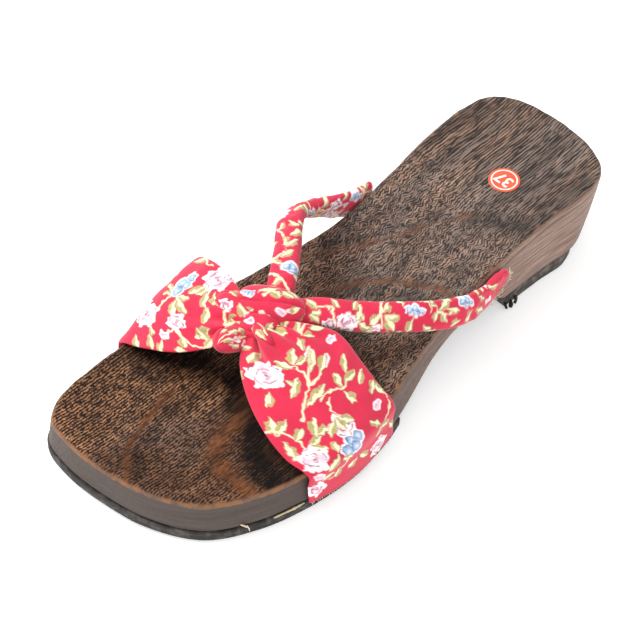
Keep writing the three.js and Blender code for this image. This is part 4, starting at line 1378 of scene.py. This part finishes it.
def stickerPaper():
    # glossy coated label: orange-red disc with a white ring
    material, tree, shader = newMaterial("coatedLabel", 0.3, 1.5, coat=0.3)
    away = addNode(tree, "Attribute", output="Fac", attribute_name="away")
    inner, outer = (
        addNode(tree, "MapRange", {"Value": away, "From Min": start, "From Max": full}, **easing)
        for start, full in sticker["whiteRing"]
    )
    white = addNode(tree, "Math", (inner, outer), operation="MULTIPLY")
    place = addNode(tree, "TexCoord", output="Object")
    fading = addNode(tree, "TexNoise", {"Vector": place, "Scale": 300.0, "Detail": 2.0})
    colour = linear(sticker["red"])
    for share, over in ((fading, "faded"), (white, "white")):
        colour = addNode(tree, "Mix", {0: share, 6: colour, 7: linear(sticker[over])}, **colourMix)
    tree.links.new(colour, shader.inputs["Base Color"])
    return material


def onFootbed(at, lift):
    return np.column_stack([at, footbedHeight(at) + lift])


def makeSticker():
    radii = np.array(sticker["rings"])
    angle = np.linspace(0, 2 * np.pi, 96, endpoint=False)
    circle = np.stack([np.cos(angle), np.sin(angle)], axis=1)
    flat = (np.array(sticker["at"]) + radii[:, None, None] * circle).reshape(-1, 2)
    top = onFootbed(flat, sticker["top"]).reshape(len(radii), -1, 3)
    under = onFootbed(flat, sticker["under"]).reshape(len(radii), -1, 3)
    points, faces = closedTube(np.concatenate([top, under[::-1]]))
    away = np.concatenate([np.repeat(np.r_[radii, radii[::-1]], len(angle)), [0, 0]])
    return points, faces, {"away": away}


def makeDigits():
    data = bpy.data.curves.new("sizeDigits", "FONT")
    data.body = sticker["digits"]
    data.size = sticker["digitSize"]
    data.extrude = sticker["digitDepth"]
    data.offset = sticker["bold"]
    data.align_x, data.align_y = "CENTER", "CENTER"
    writing = bpy.data.objects.new("sizeDigits", data)
    bpy.context.scene.collection.objects.link(writing)
    graph = bpy.context.evaluated_depsgraph_get()
    drawn = bpy.data.meshes.new_from_object(writing.evaluated_get(graph))
    bpy.data.objects.remove(writing)
    shape = bmesh.new()
    shape.from_mesh(drawn)
    bmesh.ops.remove_doubles(shape, verts=shape.verts, dist=0.001)
    bmesh.ops.recalc_face_normals(shape, faces=shape.faces)
    shape.to_mesh(drawn)
    shape.free()
    at = np.array([vertex.co for vertex in drawn.vertices])
    corners = [list(polygon.vertices) for polygon in drawn.polygons]
    bpy.data.meshes.remove(drawn)
    turned = np.array(sticker["at"]) - at[:, :2]  # reads upright for the wearer
    return onFootbed(turned, sticker["digitLift"] + at[:, 2]), corners


digitInk, _, digitShader = newMaterial("labelInk", 0.4, 1.5)
digitShader.inputs["Base Color"].default_value = linear(sticker["digitInk"])
stickerPoints, stickerFaces, stickerMarks = makeSticker()
stickerPiece = addMesh("sizeSticker", stickerPoints, stickerFaces, stickerPaper(), stickerMarks)
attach(stickerPiece, "root")
digitPoints, digitFaces = makeDigits()
digitPiece = addMesh("sizeDigits", digitPoints, digitFaces, digitInk, smoothFaces=False)
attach(digitPiece, "root")
print("size sticker made")


# frayed threads along cut edges
fraying = {
    "profileSides": 5,
    "bends": 7,
    "thickness": 0.12,
    "undyed": "#e9dcc0",
    "tinted": "#c9a98f",
    # the straps' cut ends
    "lateralTip": [
        (36.8, 36, 22.8), (36.9, 39.5, 25.4), (36.8, 43.5, 27.8), (36.2, 47.6, 29.4), (35.6, 48.2, 32.6),
        (35.4, 47.8, 35.2),
    ],
    "medialTip": [(-33.8, 41.8, 22.5), (-33.8, 42, 28), (-33.4, 41.8, 33.5)],
    # each run of threads: the way out of the cloth, spacing, reach, scatter and seed
    "runs": {
        "lateralHemThreads": ((0.5, 0, -0.6), 1.1, 1.5, 0.6, 3),
        "medialHemThreads": ((-0.5, 0, -0.6), 1.3, 1.4, 0.6, 5),
        "lateralStrapThreads": ((0.5, 0.5, -0.3), 0.42, 1.7, 0.9, 11),
        "medialStrapThreads": ((-0.3, 0.9, 0), 0.7, 1.6, 0.8, 13),
    },
}


def threadTree():
    # short bent threads stood along a path, each leaning by chance
    tree = bpy.data.node_groups.new("threadsAlongPath", "GeometryNodeTree")
    tree.is_modifier = True
    for name, kind in (
        ("Geometry", "Geometry"), ("Spacing", "Float"), ("Reach", "Float"), ("Thickness", "Float"),
        ("Scatter", "Float"), ("Seed", "Int"), ("Material", "Material"),
    ):
        tree.interface.new_socket(name=name, in_out="INPUT", socket_type="NodeSocket" + kind)
    tree.interface.new_socket(name="Geometry", in_out="OUTPUT", socket_type="NodeSocketGeometry")
    given = tree.nodes.new("NodeGroupInput").outputs
    reach, seed = given["Reach"], given["Seed"]

    path = addNode(tree, "GeometryNodeMeshToCurve", {"Mesh": given["Geometry"]})
    inputs = {"Curve": path, "Length": given["Spacing"]}
    path = addNode(tree, "GeometryNodeResampleCurve", inputs, mode="LENGTH")
    bulge, rise = (addNode(tree, "Math", (reach, share), operation="MULTIPLY") for share in (0.35, 0.5))
    middle = addNode(tree, "CombineXYZ", {"X": bulge, "Z": rise})
    end = addNode(tree, "CombineXYZ", {"Z": reach})
    inputs = {"Resolution": fraying["bends"], "Start": (0, 0, 0), "Middle": middle, "End": end}
    bent = addNode(tree, "GeometryNodeCurveQuadraticBezier", inputs)
    inputs = {"Resolution": fraying["profileSides"], "Radius": given["Thickness"]}
    profile = addNode(tree, "GeometryNodeCurvePrimitiveCircle", inputs)
    inputs = {"Curve": bent, "Profile Curve": profile, "Fill Caps": True}
    thread = addNode(tree, "GeometryNodeCurveToMesh", inputs)

    out = addNode(tree, "GeometryNodeInputNamedAttribute", {"Name": "out"}, data_type="FLOAT_VECTOR")
    inputs = {"Min": (-1, -1, -1), "Max": (1, 1, 1), "Seed": seed}
    spread = addNode(tree, "FunctionNodeRandomValue", inputs, data_type="FLOAT_VECTOR")
    spread = addNode(tree, "VectorMath", {0: spread, "Scale": given["Scatter"]}, operation="SCALE")
    lean = addNode(tree, "VectorMath", (out, spread), operation="ADD")
    turn = addNode(tree, "FunctionNodeAlignRotationToVector", {"Vector": lean}, axis="Z")
    length = addNode(tree, "FunctionNodeRandomValue", {2: 0.35, 3: 1.0, "Seed": seed}, output=1)
    inputs = {"Points": path, "Instance": thread, "Rotation": turn, "Scale": length}
    placed = addNode(tree, "GeometryNodeInstanceOnPoints", inputs)
    solid = addNode(tree, "GeometryNodeRealizeInstances", {"Geometry": placed})
    done = addNode(tree, "GeometryNodeSetMaterial", {"Geometry": solid, "Material": given["Material"]})
    tree.links.new(done, tree.nodes.new("NodeGroupOutput").inputs["Geometry"])
    return tree


def loosenedThread():
    # undyed cotton yarn where the print wore off, matt and dry
    material, tree, shader = newMaterial("cottonYarn", 0.95, 1.47, sheen=0.3)
    place = addNode(tree, "TexCoord", output="Object")
    share = addNode(tree, "TexNoise", {"Vector": place, "Scale": 900.0, "Detail": 2.0})
    inputs = {0: share, 6: linear(fraying["undyed"]), 7: linear(fraying["tinted"])}
    tree.links.new(addNode(tree, "Mix", inputs, **colourMix), shader.inputs["Base Color"])
    return material


frayTree = threadTree()
yarn = loosenedThread()


def fray(name, path, out, spacing, reach, scatter, seed):
    # path and out in the shoe's millimetres
    data = bpy.data.meshes.new(name)
    at = np.asarray(path, float) * mm + shoePlace
    data.from_pydata(at.tolist(), [(i, i + 1) for i in range(len(at) - 1)], [])
    layer = data.attributes.new("out", "FLOAT_VECTOR", "POINT")
    layer.data.foreach_set("vector", np.broadcast_to(out, at.shape).astype(np.float32).ravel())
    piece = bpy.data.objects.new(name, data)
    bpy.context.scene.collection.objects.link(piece)
    modifier = piece.modifiers.new("threads", "NODES")
    modifier.node_group = frayTree
    values = {"Spacing": spacing * mm, "Reach": reach * mm, "Thickness": fraying["thickness"] * mm}
    values.update({"Scatter": scatter, "Seed": seed, "Material": yarn})
    for item in frayTree.interface.items_tree:
        if item.in_out == "INPUT" and item.name in values:
            modifier[item.identifier] = values[item.name]
    graph = bpy.context.evaluated_depsgraph_get()
    made = bpy.data.meshes.new_from_object(piece.evaluated_get(graph))
    piece.modifiers.clear()
    piece.data = made
    bpy.data.meshes.remove(data)
    made.name = name
    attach(piece, "root")


frayPaths = {
    "lateralHemThreads": hems["lateralWing"],
    "medialHemThreads": hems["medialWing"],
    "lateralStrapThreads": curveThrough(fraying["lateralTip"]),
    "medialStrapThreads": curveThrough(fraying["medialTip"]),
}
for name, path in frayPaths.items():
    fray(name, path, *fraying["runs"][name])
print("frayed edges made")


# small marks of making and wear
strays = {
    "toeThread": {
        "lines": [
            [(36.9, -91.7, 2.4), (36.6, -92, 4.6), (36.2, -92.4, 6.2)],
            [(36.6, -92, 4.6), (35.9, -93.4, 6.6), (34.9, -94.4, 7.4)],
        ],
        "radius": 0.28,
    },
    "glueBead": {
        "lines": [[(40.3, -83, 5.6), (41.6, -79, 5.9), (42.6, -75, 5.8), (43.4, -70.5, 5.6)]],
        "radius": 0.42,
        "colours": ("#d8cda4", "#a79c72"),
    },
    "rubberFlash": {
        "lines": [
            [(31.2, 60, 2), (32.6, 58.4, 1.7), (33, 57.6, 0.9)],
            [(31.4, 62, 3.4), (33, 60.6, 3.4), (33.4, 59.6, 2.2)],
            [(30, 57.6, 2.2), (31.4, 56.4, 1.8), (32.4, 56.2, 0.8)],
        ],
        "radius": 0.7,
        "colours": ("#171513", "#3b372f"),
    },
}


def roundTube(line, radius, seed, alongCount=40, roundCount=12):
    line = evenly(curveThrough(line), alongCount)
    along = unit(np.gradient(line, axis=0))
    across = unit(np.cross(along, (0.3, 0.2, 1)))
    other = np.cross(along, across)
    angle = np.linspace(0, 2 * np.pi, roundCount, endpoint=False)
    thick = radius * (0.35 + 0.65 * np.sqrt(np.sin(np.linspace(0.15, np.pi - 0.15, len(line)))))
    thick = thick * (1 + 0.25 * waves(line, 3, seed))
    circle = across[:, None] * np.cos(angle)[None, :, None] + other[:, None] * np.sin(angle)[None, :, None]
    return closedTube(line[:, None] + circle * thick[:, None, None])


def driedGlue():
    # dried contact glue, pale and slightly glossy
    material, tree, shader = newMaterial("driedGlue", 0.4, 1.45)
    place = addNode(tree, "TexCoord", output="Object")
    share = addNode(tree, "TexNoise", {"Vector": place, "Scale": 500.0, "Detail": 2.0})
    pale, dark = strays["glueBead"]["colours"]
    inputs = {0: share, 6: linear(pale), 7: linear(dark)}
    tree.links.new(addNode(tree, "Mix", inputs, **colourMix), shader.inputs["Base Color"])
    return material


flashRubber = mouldedRubber("flashRubber", *strays["rubberFlash"]["colours"])
strayLooks = {"toeThread": yarn, "glueBead": driedGlue(), "rubberFlash": flashRubber}
for number, (name, look) in enumerate(strayLooks.items()):
    allPoints, allFaces, used = [], [], 0
    for line in strays[name]["lines"]:
        points, faces = roundTube(line, strays[name]["radius"], 60 + number)
        allPoints.append(points)
        allFaces.append(faces + used)
        used += len(points)
    strayPiece = addMesh(name, np.concatenate(allPoints), np.concatenate(allFaces), look)
    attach(strayPiece, "root")
print("small marks made")


# floor, light and camera
studio = {
    "floor": "#f4f4f4",
    "floorSpan": 6.0,
    "floorLevel": -0.0002,  # just under the shoe
    "floorGlow": 0.32,  # a lit table, so that the shadow stays faint
    "cameraAt": (0.2844, -0.3345, 0.5470),
    "viewAim": (-0.0700, 0.0030, 0.0),
    "aimOffset": (-0.003, -0.012, -0.005),  # from the middle of the shoe, so that it sits mid-frame
    "lens": 100.0,
    "worldStrength": 0.8,
    # place, size and power of each soft light
    "lights": {"key": ((-0.7, -0.3, 0.85), 0.6, 12.0), "fill": ((0.7, -0.6, 0.7), 1.1, 5.0)},
}


def makeStudio():
    span = studio["floorSpan"]
    corners = [(x * span, y * span, studio["floorLevel"]) for x, y in ((-1, -1), (1, -1), (1, 1), (-1, 1))]
    data = bpy.data.meshes.new("floor")
    data.from_pydata(corners, [], [(0, 1, 2, 3)])
    floor = bpy.data.objects.new("floor", data)
    bpy.context.scene.collection.objects.link(floor)
    paper, _, shader = newMaterial("paleFloor", 0.9, 1.45, specular=0.1)
    shader.inputs["Base Color"].default_value = linear(studio["floor"])
    shader.inputs["Emission Color"].default_value = (1, 1, 1, 1)
    shader.inputs["Emission Strength"].default_value = studio["floorGlow"]
    data.materials.append(paper)
    floor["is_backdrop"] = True

    world = bpy.data.worlds.new("studio")
    world.use_nodes = True
    background = world.node_tree.nodes["Background"]
    background.inputs["Color"].default_value = (1, 1, 1, 1)
    background.inputs["Strength"].default_value = studio["worldStrength"]
    bpy.context.scene.world = world
    for name, (at, size, power) in studio["lights"].items():
        light = bpy.data.lights.new(name, "AREA")
        light.size = size
        light.energy = power
        lamp = bpy.data.objects.new(name, light)
        lamp.location = at
        lamp.rotation_euler = (-Vector(at)).to_track_quat("-Z", "Y").to_euler()
        bpy.context.scene.collection.objects.link(lamp)
    bpy.context.scene.view_settings.view_transform = "Standard"


def makeCamera():
    lens = bpy.data.cameras.new("camera")
    lens.sensor_width = 36
    lens.lens = studio["lens"]
    lens.clip_start, lens.clip_end = 0.05, 20
    camera = bpy.data.objects.new("camera", lens)
    bpy.context.scene.collection.objects.link(camera)
    at = Vector(studio["cameraAt"])
    straight = Vector(studio["viewAim"]) - at
    low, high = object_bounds()
    toShoe = (low + high) / 2 + Vector(studio["aimOffset"]) - at
    camera.rotation_mode = "QUATERNION"
    camera.location = at
    turn = straight.rotation_difference(toShoe)
    camera.rotation_quaternion = turn @ straight.to_track_quat("-Z", "Y")
    bpy.context.scene.camera = camera


makeStudio()
makeCamera()
print("studio ready")
